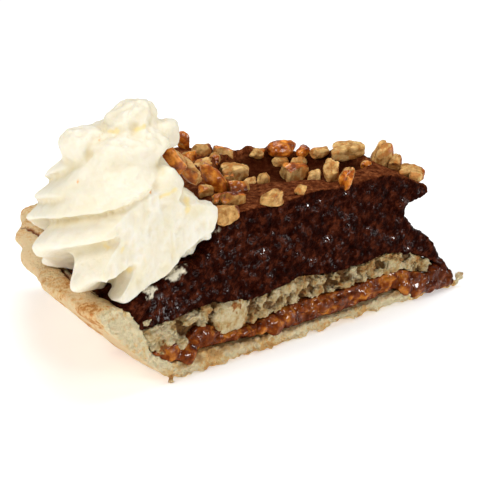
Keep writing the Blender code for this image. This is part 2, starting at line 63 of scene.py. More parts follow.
# swells of the tops: a seed and how high; their length, and how many lie across
CRUST_SWELL, FILLING_SWELL = (1.0, 0.8), (2.0, 1.5)
NUT_LAYER_SWELL, MOUSSE_SWELL = (3.0, 1.8), (4.0, 2.0)
SWELL_LENGTH = 17
SWELLS_ACROSS = 1.6
CRUST_TOP = [(-3, 1.0), (0, 1.1), (12, 2.6), (22, 3.5), (42, 2.4), (62, 2.8), (78, 3.7),
             (91, 5.0), (96, 3.7), (101, 4.3)]
FILLING_TOP = [(0, 2.4), (2.5, 3.2), (9, 5.0), (21, 9.2), (40, 8.2), (58, 9.1), (69, 7.7),
               (77, 6.6), (84, 8.8), (91, 11.4), (96, 9.0), (108, 8.4)]
NUT_LAYER_TOP = [(0, 3.9), (2.5, 4.6), (9, 8.8), (16, 13.0), (27, 15.2), (34, 13.9), (47, 14.4),
                 (58, 16.3), (66, 14.6), (76, 14.2), (87, 16.3), (98, 15.7), (111, 14.9)]
MOUSSE_TOP = [(8, 29.6), (12, 31.7), (20, 35.5), (26, 37.6), (34, 38.2), (43, 37.6), (51, 38.8),
              (64, 38.5), (80, 38.8), (85, 36.0), (91, 29.8), (100, 27.7), (110, 25.2), (116, 21.8)]
WALL_OUTSIDE = [(99.4, -TIN_LEVEL), (103.7, 1.4), (107.8, 5.0), (111.5, 8.5), (115.7, 12.5),
                (120.4, 17.2), (123.4, 20.3), (123.2, 22.0), (120.8, 22.9)]
WALL_INSIDE = [(100.5, 4.2), (103.7, 5.8), (107.1, 8.8), (108.9, 12.4), (110.2, 15.6),
               (112.1, 19.1), (114.0, 21.2), (115.9, 22.4), (118.4, 23.0)]
CREST_HEIGHT = 23.0
CREST_LEVEL = 22               # at which the cream lies on the crest
RIM_SKEW = 4.6
FLUTES = 9
FLUTE_DEPTH = 0.7
FLUTE_START = 0.8
RIM_FROM, CRACKS_FROM = (10, 20), (18, 20)        # the heights at which they begin
# the cuts' frayed lower edge: how deep, up to where, how far up at most, and to which radius
FRAY_DEPTH = 4.0
FRAY_HEIGHTS = (-0.6, 1.4)
FRAY_MOST = 1.6
FRAY_TO = (96, 104)
# where the pastry is darker below the filling, as moist pastry and as painted shade: heights, radius,
# depth behind the cuts
MOIST_SHADE_FROM, MOIST_SHADE_TO, MOIST_SHADE_DEPTH = (1.2, 3.0), 99, 3
CRUST_TIP = -2.4
FILLING_TIP = 0.9
NUT_LAYER_TIP = 2.4
MOUSSE_TIP = [(1.8, 4.7), (3.6, 7.5), (5.4, 9.9), (9.6, 15.9), (14.5, 18.7), (17.0, 21.3),
              (20.2, 24.8), (20.4, 27.2), (16.5, 28.3), (12.0, 28.6), (10.9, 30.4), (12.4, 31.9)]
TIP_REACH = 34.0
HOLLOW_RADIUS = 46.0
HOLLOW_ACROSS = 0.22
HOLLOW_LENGTH = 22.0
HOLLOW_WIDTH = 0.72
HOLLOW_DEPTH = 5.5
HOLLOW_STEEPNESS = 0.55        # nearer 0, the wall is steeper and the floor flatter
# the raised lip around the hollow's back, and where it lies inside the hollow and across
LIP_HEIGHT = 1.3
LIP_INSIDE, LIP_WIDTH, LIP_ACROSS = -0.07, 0.08, (0.15, 0.5)
# the torn slope below the cream: its radii, and how far behind the near cut
TORN_FROM, TORN_TO = (82, 87), (16, 9)
# the mousse's top: how far up its faces point, and the heights from which it begins
TOP_FACES, TOP_FROM = (0.3, 0.7), (18, 24)

# --- what shows at the cuts --------------------------------------------------
# how far behind a cut its roughness reaches, and the pale colour of the crust's section
CRUST_CUT, FILLING_CUT, NUT_LAYER_CUT, MOUSSE_CUT = 1.6, 3.0, 4.0, 1.5
SECTION_DEPTH = 2.4
# how far a layer's cuts lie back, and how much that wanders
FILLING_INSET = (0.7, 0.8)
NUT_LAYER_INSET = (1.2, 1.4)
INSET_FROM, INSET_TO = (8, 12), (96, 102)         # the radii between which it begins and ends
# how far up a face has to point to glint: not at all, and fully
FILLING_LEDGE = (0.08, 0.26)
MOUSSE_LEDGE = (0.12, 0.30)
GLINTS_BELOW = (1.0, 2.2)      # how far below its top the mousse begins to glint
DARK_TIP = (8, 15)             # the radii within which the filling is darker
# painted shade: the nut layer turns dark behind its cuts
GAP_SHADE_DEPTHS = (0.9, 2.1)        # how far behind the cuts the nut layer turns dark
# chunks and bulges at the near cut: along it, height, length, how tall
BIG_CHUNK = (81.2, 11.5, 12.6, 10.2)
LEFT_CHUNKS = [(101.9, 11.0, 6.6, 6.0), (94.2, 14.0, 7.5, 3.6), (106.6, 13.2, 5.6, 5.0),
               (97.8, 8.6, 5.0, 4.0), (104.4, 8.6, 3.6, 3.0), (109.0, 17.2, 3.2, 2.6)]
TOASTED = [(80.6, 14.2, 1.9), (103.6, 8.8, 1.8)]       # browned places: along, height, size
CHUNK_STEP = 2.9               # between the smaller chunks along the cut
CHUNK_LENGTH = (2.4, 5.2)
CHUNK_FROM, CHUNK_TO = 9.0, 92.0
FAR_CHUNK_TO = 106             # on the far cut
TWO_ROWS_FROM = 4.5            # the height of the layer from which two chunks fit in it
FILLING_LUMPS = [(66.5, 5.0, 5.6, 6.0), (71.0, 5.6, 4.6, 4.2), (61.5, 5.4, 4.0, 4.0),
                 (96.0, 4.6, 7.5, 4.4), (13.5, 2.3, 8.5, 5.4), (8.8, 1.7, 7.5, 4.6),
                 (4.6, 1.2, 6.5, 3.6), (1.2, 0.9, 4.6, 2.8), (18.5, 3.6, 6.5, 5.0),
                 (7.4, 5.6, 5.5, 5.2), (4.0, 4.6, 4.6, 4.6), (1.2, 2.9, 3.6, 3.8)]
LUMP_STEP = 2.5
LUMP_LENGTH = (2.6, 4.8)
LUMP_DEPTH = 1.9
LUMP_TALL = (0.35, 0.8)        # of the layer's height
LUMPS_FROM, LUMPS_TO = 8.0, 98
# crumbs below the near cut: along it, and how far behind it
CRUMB_PLACES = [(102.1, -0.1), (96.0, -0.2), (91.7, -0.5), (84.0, 0.0), (73.6, -0.5), (68.7, -0.4),
                (58.0, 0.1), (50.5, -0.2), (39.4, -0.6), (30.7, -0.5), (22.0, 0.3)]
CRUMB_TURN = 22
# cream smears and the wettest patch on the mousse's near cut: along it, height, size
CREAM_SMEARS = [(100.1, 27.9, 3.0), (96.9, 31.0, 2.4), (92.1, 33.2, 1.8), (108.0, 24.7, 2.0),
                (86.6, 35.8, 1.5)]
WET_PATCH = (103.5, 19.4, 5.5)
# cracks in the rim, from one radius and share across to another, with half their width
RIM_CRACKS = [((118.7, 0.58), (116.8, 0.48), 0.45), ((116.8, 0.48), (114.5, 0.37), 0.6),
              ((116.4, -0.11), (115.3, -0.26), 0.5), ((115.3, -0.26), (116.3, -0.43), 0.5),
              ((116.3, -0.43), (115.8, -0.59), 0.4), ((115.8, -0.59), (115.4, -0.75), 0.5)]
CRACK_DEPTH = 0.5
# browned places on the rim: radius, share across, size
RIM_BROWN = [(119.6, -0.72, 2.0), (120.6, -0.83, 2.6), (121.4, -0.92, 2.0), (122.8, 0.80, 2.2)]
TIP_FLAKE = (-2.3, 2.1, 1.7, 1.5)         # radius, height, half length, half height
FLAKE_TILT = 30

# --- the whipped cream, as in the part, its foot and lumps nearer to the photo
CREAM_FROM_AXIS = 101.0
CREAM_BEHIND_CUT = 19.5
CREAM_OUTLINE = [(20, 22.5), (26, 22.5), (34, 23.8), (38, 24.0), (42, 21.8), (46, 20.0),
                 (50, 17.8), (54, 15.0), (58.5, 14.0), (60.2, 9.0), (62, 6.6), (64, 5.6), (66.3, 3.4)]
CREAM_HEIGHT = 67.0
CREAM_LEAN = 5.0
LEAN_START = 54.0
CREAM_GAP = 0.6
RIDGES = [15, 66, 113, 160, 210, 273, 312]
RIDGE_TURN = [(20, -83), (38, 0), (49, 99), (58, 138), (68, 190)]
RIDGE_DEPTH = 0.25
RIDGE_DROOP = 1.6              # how far a ridge hangs below its groove
DROOP_FOOT = (24.0, 32.0)      # the heights between which the droop begins
DROOP_FADE = 20                # how far below the peak it begins to fade
GROOVE_SHARPNESS = 1.7
GROOVE_SKEW = 1.5              # above 1, a groove's bottom is nearer the next ridge
GROOVE_DEPTHS = [1.0, 0.9, 0.5, 1.2, 0.85, 0.9, 0.9]      # after each of the ridges
GROOVE_FADES = [0.8, 0.8, 0.7, 0.1, 0.0, 0.0, 0.0]        # how much each fades in front
SMOOTH_FRONT = (198, 228, 275, 300)       # the azimuths between which grooves fade
SMOOTH_HEIGHTS = (38, 44, 60, 64)         # and the heights
FOOT_DEPTH = 1.3               # how much deeper the grooves are at the foot
FOOT_HEIGHT = 31.0
FOOT_FADE = 8
SPREAD = 0.30                  # how much wider the rosette is towards the near cut
SPREAD_AZIMUTH = 262
SPREAD_TOP = 54.0
SPREAD_FADE = 5.0
SPREAD_FOOT = (23.0, 32.0)     # the heights between which the spread begins
# swells and dents: azimuth, height, half width in degrees, half height, how far out
CREAM_SWELLS = [(200, 55.5, 18, 3.4, -2.6), (236, 55.0, 12, 6.0, 1.0), (307, 45.0, 5, 5.0, -3.0),
                (328, 41.0, 13, 5.0, 1.4), (292, 33.0, 9, 8.0, -0.8), (250, 61.0, 30, 1.6, -1.6),
                (352, 51.5, 40, 6.0, -7.4), (354, 45.0, 32, 3.6, -5.0), (346, 39.5, 22, 3.5, -2.5),
                (182, 24.0, 24, 3.6, -10.0), (231, 25.0, 7, 5.0, 4.4), (211, 24.0, 8, 5.0, -9.0),
                (241, 25.0, 4, 5.0, -3.0), (256, 25.0, 9, 5.0, 2.0), (168, 31.0, 16, 5.0, -1.2)]
# how far from the rosette's middle to the tip, behind the cut, height, half sizes, tilt
CREAM_LUMPS = [(1.0, 18.2, 62.5, (5.1, 4.6, 3.0), -24), (8.8, 13.1, 58.6, (3.1, 3.4, 3.4), 0),
               (0.2, 4.4, 48.8, (5.0, 3.9, 3.6), -34), (11.6, 2.8, 38.2, (2.9, 2.8, 4.8), 12),
               (-9.6, 21.5, 56.6, (4.9, 4.6, 4.8), -15)]
LUMP_SQUARENESS = 0.46         # 1 is round, 0 a box
# where the cream is ragged: behind the near cut, towards the tip, and up at its peak
RAGGED_DEPTHS, RAGGED_FROM, RAGGED_PEAK = (5.0, 1.5), (3, 8), (55, 60)
# yellow streaks of painted shade in grooves and creases and under the peak, and orange
# specks: from and to, along the cut, behind it and up, and half the width
CREAM_SHADE_STREAKS = [((106.6, 16.9, 60.8), (105.2, 14.8, 61.3), 0.5),
                 ((101.2, 12.9, 61.4), (99.5, 11.9, 61.8), 0.5),
                 ((94.6, 1.9, 44.7), (95.8, 0.4, 42.6), 0.8),
                 ((99.8, 0.0, 48.9), (104.2, 0.3, 47.9), 0.5),
                 ((119.0, 2.9, 38.0), (116.3, 0.0, 37.4), 0.6),
                 ((113.1, 1.9, 31.0), (112.0, 1.0, 32.0), 0.6)]
CREAM_SPECKS = [((107.2, 0.2, 49.8), (107.4, 0.2, 49.7), 0.45),
                ((118.2, 14.0, 51.5), (118.0, 14.0, 51.3), 0.3),
                ((109.6, 16.3, 59.5), (109.5, 16.3, 59.4), 0.3)]
COLUMNS_PER_RIDGE = 36
COLUMN_STEP = 0.12             # degrees that two columns are apart at the least
CREAM_RINGS = 170
CLOSED_BELOW, CLOSED_ABOVE = 0.03, 0.97   # the shares of the rings that close the ends
SHELL_BOTTOM = 20.0            # below all that the cream lies on
CREST_BELOW_CREAM = [(111, 18.5), (114, 21.8), (117, 23.2)]
CREST_FROM, MOUSSE_TO = 110, 115          # the radii of the crust and the mousse below it
SLIT = 0.45                    # half the width of the slits that are closed
# the cream's cut: how far behind it, and how squarely its faces point out of it
CREAM_CUT, CREAM_CUT_FACES = (0.3, 1.2), (0.6, 0.9)
GROUND_CELLS = 36              # of the block below the cream, each way, and their size
GROUND_CELL = 2.0

# --- the chopped pecans ------------------------------------------------------
# radius, share across, length, width, height, turn, shape, skin side, tone
CHOPPED_NUTS = [
    (74.6, 0.94, 3.8, 2.7, 6.9, 0, "stub", "near", 0.5),
    (69.6, 0.78, 5.4, 3.9, 4.2, 15, "lump", "right", 0.4),
    (63.4, 0.80, 7.0, 5.0, 3.9, 0, "slab", "up", 0.5),
    (62.5, 0.42, 8.2, 5.9, 5.2, 10, "chunk", "none", 0.9),
    (71.4, 0.22, 6.0, 4.3, 5.0, 40, "chunk", "left", 0.6),
    (68.7, -0.46, 6.8, 4.9, 4.0, 5, "slab", "near", 0.5),
    (59.8, 0.05, 4.2, 3.0, 4.2, 30, "chunk", "none", 0.8),
    (54.4, 0.28, 6.4, 3.2, 3.6, 50, "shard", "none", 0.3),
    (76.3, -0.79, 7.2, 5.2, 4.4, 20, "slab", "up", 0.1),
    (80.2, -0.46, 4.2, 3.0, 3.6, 0, "chunk", "left", 0.4),
    (79.9, -0.69, 4.9, 3.5, 3.2, 35, "lump", "up", 0.3),
    (84.2, -0.93, 6.6, 4.8, 5.2, 10, "chunk", "right", 0.4),
    (54.5, 0.86, 5.2, 3.7, 3.2, 0, "lump", "right", 0.5),
    (47.6, 0.95, 8.4, 6.0, 4.9, 5, "lobe", "all", 0.2),
    (42.1, 0.94, 4.4, 3.2, 4.0, 30, "lobe", "all", 0.2),
    (48.3, 0.82, 4.4, 3.2, 2.9, 15, "lump", "none", 0.5),
    (43.2, 0.82, 5.4, 3.9, 3.6, 50, "lump", "none", 0.7),
    (45.7, 0.46, 8.0, 5.8, 6.4, 25, "chunk", "up", 0.6),
    (40.2, 0.36, 5.0, 3.6, 4.4, 0, "lump", "none", 0.9),
    (41.4, -0.58, 6.6, 4.8, 7.2, 70, "chunk", "right", 0.6),
    (37.5, 0.88, 5.2, 3.7, 3.2, 0, "lump", "none", 0.5),
    (30.2, 0.82, 9.6, 6.9, 5.0, 350, "chunk", "none", 0.7),
    (67.6, -0.985, 7.4, 5.5, 4.6, 40, "chunk", "none", 0.3),
    (57.6, -0.95, 3.8, 2.7, 3.2, 0, "lump", "none", 0.3),
    (41.4, -0.93, 5.2, 3.7, 6.0, 60, "chunk", "near", 0.2),
    (26.0, 0.20, 3.2, 2.3, 3.2, 0, "stub", "near", 0.2),
    (20.8, 0.72, 6.4, 5.1, 8.8, 20, "wedge", "right", 0.5),
    (17.0, 0.68, 4.8, 3.8, 5.2, 45, "wedge", "right", 0.6),
    (13.4, 0.22, 7.4, 5.3, 5.0, 350, "chunk", "right", 0.4),
    (14.2, -0.55, 3.6, 2.6, 3.6, 0, "chunk", "none", 0.6),
    (66.0, 0.02, 5.0, 3.6, 3.4, 75, "slab", "up", 0.2),
    (74.0, 0.55, 5.2, 3.7, 4.0, 110, "slab", "near", 0.3),
    (66.8, 0.55, 4.6, 3.3, 3.4, 60, "lump", "near", 0.4)]
# those that lean: azimuth and radius from the rosette's middle, height, length, width,
# height of the nut, how far its length is tilted down, turn, shape, skin side, tone
LEANING_NUTS = [(355, 13.0, 51.2, 8.6, 4.4, 5.2, 58, -20, "wedge", "near", 0.6),
                (3, 17.9, 47.4, 9.4, 4.2, 4.6, 48, -20, "slab", "left", 0.7),
                (17, 28.5, 41.6, 10.4, 5.0, 5.0, 50, -20, "kernel", "all", 0.6)]
HIDDEN_NUTS = 12
HIDDEN_RADII = (80.0, 100.0)
HIDDEN_ACROSS = (0.45, 0.92)
HIDDEN_LENGTH = (4.5, 7.5)
HIDDEN_SHAPES = ["chunk", "slab", "lump", "shard"]
HIDDEN_SIDES = ["up", "left", "right", "none"]
NUT_SINK = 0.25
NUT_CLEARANCE = -1.5           # how far a nut stays from the rosette's circle
NUT_TILT = 17                  # the most that a nut lies askew, in degrees
NUT_SHAPES = {
    # length, width and height; chops on its sides; how lumpy
    "chunk": ((1, 0.95, 0.9), 4, 0.11), "slab": ((1, 0.8, 0.5), 4, 0.08),
    "shard": ((1, 0.5, 0.6), 3, 0.07), "stub": ((0.8, 0.8, 1), 2, 0.05),
    "wedge": ((0.8, 0.7, 1), 3, 0.09), "lump": ((1, 0.9, 0.8), 2, 0.13),
    "lobe": ((1, 0.75, 0.65), 0, 0.15), "kernel": ((1, 0.42, 0.42), 0, 0.03)}
CHOP_SIDES = [(1, 0, 0), (-1, 0, 0), (0, 0, 1), (0, -1, 0), (0, 1, 0), (0, 0, -1)]
CHOP_REACH = (0.56, 0.80)      # how far out a side is chopped off, in the nut's half size
CHOP_TILT = 0.45
NUT_GRAIN = 0.016              # as a share of the nut's length
GROOVE_WIDTH, GROOVE_CUT = 0.05, 0.03     # of the groove along a nut's back
SKIN_EDGE = (0.45, 0.60)       # how squarely a face points that way where the skin begins
# the way that a nut's skin faces
SKIN_SIDES = {"near": (-0.34, -0.94, 0.2), "left": (-0.9, -0.3, 0.2), "right": (0.96, -0.1, 0.2),
              "up": (0, -0.2, 1), "none": (0, 0.5, -0.8), "all": None}

# --- how fine the meshes are -------------------------------------------------
# faces of the blocks: outwards from the tip, across and up
CRUST_CELLS = (110, 70, 4)
FILLING_CELLS = (130, 60, 8)
NUT_LAYER_CELLS = (130, 60, 10)
MOUSSE_CELLS = (120, 80, 26)
CRUST_VOXEL = 0.42
FILLING_VOXEL = 0.40
NUT_LAYER_VOXEL = 0.40
MOUSSE_VOXEL = 0.46
CREAM_VOXEL = 0.42
NUT_VOXELS = 26                # across the longest side of a chopped nut
SEED_STEP = 17.3               # how far apart two seeds lie in the noise
SEED_RANGE = 50

# --- colours: red, green and blue, or several by their place in a mottle ------
PASTRY_OUTSIDE = [(0.1, (0.99, 0.73, 0.41)), (0.6, (0.94, 0.58, 0.25)), (1.0, (0.68, 0.27, 0.06))]
PASTRY_SECTION = [(0.1, (0.97, 0.82, 0.52)), (0.6, (0.94, 0.66, 0.30)), (1.0, (0.82, 0.44, 0.14))]
# painted shade below the filling, together with pastry moist from it
PASTRY_MOIST_AND_SHADE = (0.42, 0.23, 0.08)
# painted shade in the rim's cracks
PASTRY_CRACK_SHADE = (0.22, 0.045, 0.010)
FILLING_AMBER = [(0.36, (0.060, 0.007, 0.001)), (0.52, (0.18, 0.034, 0.004)),
                 (0.68, (0.50, 0.17, 0.022))]
CRUMB_TOAST = [(0.0, (0.63, 0.52, 0.31)), (0.38, (0.50, 0.35, 0.15)), (0.72, (0.40, 0.19, 0.05)),
               (1.0, (0.25, 0.075, 0.014))]
# painted shade in the gaps between the crumbs
CRUMB_GAP_SHADE = [(0.3, (0.045, 0.015, 0.003)), (0.7, (0.24, 0.11, 0.025))]
MOUSSE_INSIDE = [(0.34, (0.006, 0.0006, 0.0002)), (0.5, (0.023, 0.0030, 0.0010)),
                 (0.68, (0.105, 0.023, 0.009))]
MOUSSE_OUTSIDE = [(0.34, (0.050, 0.009, 0.0025)), (0.50, (0.15, 0.036, 0.011)),
                  (0.68, (0.36, 0.12, 0.042))]
# painted shade in the hollow on top
MOUSSE_HOLLOW_SHADE = (0.030, 0.004, 0.001)
CREAM_SMEAR = (0.82, 0.74, 0.56)
CREAM_OPEN = [(0.35, (0.80, 0.735, 0.57)), (0.65, (0.82, 0.775, 0.66))]
CREAM_SECTION = [(0.35, (0.78, 0.71, 0.53)), (0.65, (0.84, 0.80, 0.70))]
# painted shade in the cream's creases
CREAM_CREASE_SHADE = (0.74, 0.62, 0.36)
# painted shade, yellow in the grooves of the cut
CREAM_GROOVE_SHADE = (0.86, 0.68, 0.26)
CREAM_SPECK = (0.80, 0.36, 0.07)
PECAN_DARK_FLESH = [(0.36, (0.22, 0.080, 0.016)), (0.64, (0.64, 0.36, 0.11))]
PECAN_PALE_FLESH = [(0.36, (0.40, 0.18, 0.042)), (0.62, (0.86, 0.58, 0.24))]
PECAN_RIND = (0.46, 0.17, 0.035)
PECAN_SKIN = [(0.34, (0.11, 0.015, 0.002)), (0.50, (0.42, 0.095, 0.007)), (0.66, (0.88, 0.33, 0.040))]
# painted shade in the nuts' creases
PECAN_CREASE_SHADE = (0.13, 0.035, 0.008)

# --- floor and lights, in metres ---------------------------------------------
FLOOR_SIZE = 6.0
WORLD_STRENGTH = 0.15
LIT_SPOT = (0, 0, 0.025)
# name, place, size, watts
SOFTBOXES = [("key_light", (-0.75, -0.25, 0.60), 0.45, 4.6),
             ("top_light", (0.10, 0.15, 0.95), 0.60, 5.3),
             ("front_light", (0.35, -0.85, 0.45), 0.28, 2.2),
             ("low_light", (-0.50, -0.75, 0.16), 0.30, 0.9),
             ("glint_light", (0.70, -0.50, 0.32), 0.20, 1.5)]

# --- the camera, in metres, solved from the photograph ------------------------
CAMERA_PLACE = (-0.16965, -0.4609, 0.1923)
CAMERA_TARGET = (-0.0016, 0.0006, 0.02147)
CAMERA_LENS = 146.8            # in millimetres, as the sensor's width
SENSOR = 36.0


# --- working on objects ------------------------------------------------------
def deselect():
    bpy.ops.object.select_all(action="DESELECT")


def pick(*pieces):
    """Select these pieces alone and make the first one active."""
    deselect()
    for piece in pieces:
        piece.select_set(True)
    bpy.context.view_layer.objects.active = pieces[0]


def copy_of(piece):
    pick(piece)
    bpy.ops.object.duplicate()
    return bpy.context.object


def drop(pieces):
    for piece in pieces:
        bpy.data.objects.remove(piece)


def modify(piece, kind, **settings):
    """Add a modifier and apply it."""
    pick(piece)
    bpy.ops.object.modifier_add(type=kind)
    modifier = piece.modifiers[-1]
    for name, value in settings.items():
        setattr(modifier, name, value)
    bpy.ops.object.modifier_apply(modifier=modifier.name)


def remesh(piece, voxel):
    modify(piece, "REMESH", mode="VOXEL", voxel_size=voxel * MM)


def grow(piece, by):
    """Move the surface out by a distance in mm, or in where it is negative."""
    write_points(piece, read_points(piece) + by * MM * read_normals(piece))


def soften(piece, times):
    modify(piece, "SMOOTH", iterations=times, factor=0.5)


def join(name, pieces):
    pick(*pieces)
    bpy.ops.object.join()
    whole = bpy.context.object
    whole.name = name
    whole.data.name = name
    return whole


def fuse(name, pieces, voxel, smoothing):
    """Join pieces and give them one skin."""
    whole = join(name, pieces)
    remesh(whole, voxel)
    soften(whole, smoothing)
    return whole


def open_edit(piece):
    """Go to edit mode with all of a piece selected."""
    pick(piece)
    bpy.ops.object.mode_set(mode="EDIT")
    bpy.ops.mesh.select_all(action="SELECT")


def close_edit():
    """Turn all faces outwards and leave edit mode."""
    bpy.ops.mesh.select_all(action="SELECT")
    bpy.ops.mesh.normals_make_consistent(inside=False)
    bpy.ops.object.mode_set(mode="OBJECT")


def add_ball(subdivisions, radius=1.0):
    deselect()
    bpy.ops.mesh.primitive_ico_sphere_add(subdivisions=subdivisions, radius=radius)
    return bpy.context.object


def block(name, columns, across, rows):
    """A closed block of quads in the unit box: a grid, extruded row by row."""
    deselect()
    bpy.ops.mesh.primitive_grid_add(x_subdivisions=columns, y_subdivisions=across, size=1,
                                    location=(0.5, 0.5, 0))
    bpy.ops.object.transform_apply(location=True)
    piece = bpy.context.object
    piece.name = name
    open_edit(piece)
    for _ in range(rows):
        bpy.ops.mesh.extrude_region_move(TRANSFORM_OT_translate={"value": (0, 0, 1 / rows)})
    close_edit()
    return piece


def read_vectors(data, name):
    flat = np.empty(len(data) * 3, np.float32)
    data.foreach_get(name, flat)
    return flat.reshape(-1, 3).astype(float)


def read_points(piece):
    return read_vectors(piece.data.vertices, "co")


def read_normals(piece):
    return read_vectors(piece.data.vertex_normals, "vector")


def write_points(piece, points):
    piece.data.vertices.foreach_set("co", points.astype(np.float32).ravel())
    piece.data.update()


def paint(piece, **shares):
    """Keep shares for each vertex, which the piece's material reads by their names."""
    for name, values in shares.items():
        layer = piece.data.attributes.new(name, "FLOAT", "POINT")
        layer.data.foreach_set("value", np.clip(values, 0, 1).astype(np.float32))


def smooth_shade(piece):
    pick(piece)
    bpy.ops.object.shade_smooth()


def creases(piece, times, depth):
    """0 on ridges and 1 in creases, from how far smoothing would move the surface; the pieces use it
    to paint shade.
    """
    spots, facing = read_points(piece), read_normals(piece)
    smoothed = copy_of(piece)
    soften(smoothed, times)
    lift = ((read_points(smoothed) - spots) * facing).sum(1) / MM
    drop([smoothed])
    return step_up(lift, -depth * 0.3, depth)


# --- numbers that vary over a surface ----------------------------------------
def noise_spots(points, size, seed):
    """Places in the noise, in steps of a feature's size; size may be one for each axis."""
    return (np.asarray(points, float) / size + seed * SEED_STEP).tolist()


def ripple(points, size, seed=0.0, octaves=2):
    """Soft noise of about -1 to 1, with features of a size."""
    return np.array([noise.fractal(spot, 1.0, 2.0, octaves)
                     for spot in noise_spots(points, size, seed)])


def folds(points, size, seed, octaves=2, crest=0.4):
    """Noise that rises to sharp crests."""
    return crest - np.abs(ripple(points, size, seed, octaves))


def cracks(points, size, seed):
    """0 in the cracks between cells of a size, and towards 1 inside the cells."""
    near = [noise.voronoi(spot)[0] for spot in noise_spots(points, size, seed)]
    return np.array([second - first for first, second, _, _ in near])


def step_up(values, low, high):
    """From 0 below low to 1 above high, with soft ends."""
    share = np.clip((np.asarray(values, float) - low) / (high - low), 0, 1)
    return share * share * (3 - 2 * share)


def mix(low, high, share):
    return low + (high - low) * share


def along(profile, at, softness=0.0):
    """The value of a profile, averaged over a short stretch where softness is given."""
    places, values = zip(*profile)
    if not softness:
        return np.interp(at, places, values)
    shifts = softness * np.linspace(-1, 1, 7)
    return sum(np.interp(at + shift, places, values) for shift in shifts) / len(shifts)


# --- places and heights, as in the part --------------------------------------
def half_width(radius):
    edge = radius * CUT_SIN
    return (edge + np.sqrt(edge * edge + 4 * TIP_HALF_WIDTH ** 2)) / 2


def place(radius, across, height):
    """Points in metres at a radius, a share across and a height."""
    angle = across * HALF_ANGLE
    x = -radius * np.cos(angle)
    y = half_width(radius) * np.sin(angle) / CUT_SIN
    return slice_points(x, y, height)


def slice_points(x, y, height):
    """Points in metres, given from the pie's axis at the level of the tin."""
    x, y, height = np.broadcast_arrays(x, y, height)
    return np.stack([AXIS_X + x, AXIS_Y + y, TIN_LEVEL + height], -1) * MM


def tin_points(points):
    """The x, y and height in mm from the pie's axis of points in metres."""
    return points / MM - np.array([AXIS_X, AXIS_Y, TIN_LEVEL])


def read_surface(piece):
    """A piece's points in mm from the pie's axis, and the way that each faces."""
    return tin_points(read_points(piece)), read_normals(piece)


def write_surface(piece, spots):
    write_points(piece, slice_points(*spots.T))


def swell(radius, across, seed, size):
    """Soft swells of a layer's top, none at the near cut and the most at the far one."""
    wave_spots = np.broadcast_arrays(radius / SWELL_LENGTH, across * SWELLS_ACROSS, seed)
    spots = np.stack(wave_spots, -1)
    wave = np.array([noise.noise(spot) for spot in spots.reshape(-1, 3).tolist()])
    return size * wave.reshape(spots.shape[:-1]) * (1 + across) / 2


def crust_top(radius, across):
    return along(CRUST_TOP, radius) + swell(radius, across, *CRUST_SWELL)


def filling_top(radius, across):
    return along(FILLING_TOP, radius) + swell(radius, across, *FILLING_SWELL)


def nut_layer_top(radius, across):
    return along(NUT_LAYER_TOP, radius, 1.5) + swell(radius, across, *NUT_LAYER_SWELL)


def inside_hollow(radius, across):
    """1 in the hollow's middle, 0 at its edge and negative outside it."""
    x = (radius - HOLLOW_RADIUS) / HOLLOW_LENGTH
    y = (across - HOLLOW_ACROSS) / HOLLOW_WIDTH
    return 1 - x * x - y * y


def hollow(radius, across):
    return HOLLOW_DEPTH * np.maximum(0.0, inside_hollow(radius, across)) ** HOLLOW_STEEPNESS


def mousse_top(radius, across):
    level = along(MOUSSE_TOP, radius, 2.0) + swell(radius, across, *MOUSSE_SWELL)
    return level - hollow(radius, across)


def rim_point(radius, across):
    """The x and y of a place on the rim."""
    return -radius * math.cos(across * HALF_ANGLE), radius * math.sin(across * HALF_ANGLE)


def rim_shift(height, across):
    """How far the wall's radius changes towards the far cut, the most at the crest."""
    return -RIM_SKEW * (1 + across) / 2 * height / CREST_HEIGHT


def wall_inside(height, across):
    heights, radii = zip(*[(z, radius) for radius, z in WALL_INSIDE])
    return np.interp(height, heights, radii) + rim_shift(height, across)


def outer_end(bottom, top, share, across):
    """The radius where a layer's row meets the crust's wall, less the gap."""
    radius = np.full(np.shape(across), RIM_STATION)
    for _ in range(6):
        height = mix(bottom(radius, across) + GAP, top(radius, across), share)
        radius = wall_inside(height, across) - WALL_GAP
    return radius


# --- places at the cuts ------------------------------------------------------
def from_near_cut(spots):
    """How far points lie inside the near cut, in mm."""
    return spots[:, 0] * -CUT_SIN + spots[:, 1] * CUT_COS


def from_far_cut(spots):
    return spots[:, 0] * -CUT_SIN - spots[:, 1] * CUT_COS


def behind_cuts(spots):
    """How far points lie inside the nearer of the two cuts."""
    return np.minimum(from_near_cut(spots), from_far_cut(spots))


def cut_share(spots, depth):
    """1 on the two cuts, falling to 0 at a depth behind them."""
    return 1 - step_up(behind_cuts(spots), depth * 0.4, depth)


def along_near_cut(spots):
    """How far from the pie's axis points lie along the near cut."""
    return -spots[:, 0] * CUT_COS - spots[:, 1] * CUT_SIN


def outward_from_cut(spots):
    """The level direction that points out of the nearer cut."""
    near = from_near_cut(spots) < from_far_cut(spots)
    side = np.where(near, -1.0, 1.0)
    return np.stack([np.full(len(spots), CUT_SIN), side * CUT_COS, np.zeros(len(spots))], -1)


def cut_point(reach, behind, side=-1):
    """The x and y at a distance along a cut and behind it; side is -1 for the near cut."""
    x = -CUT_COS * reach - CUT_SIN * behind
    y = side * (CUT_SIN * reach - CUT_COS * behind)
    return x, y


def behind_cut(reach, behind, height, side=-1):
    """A point at a distance along a cut, behind it and up."""
    return (*cut_point(reach, behind, side), height)


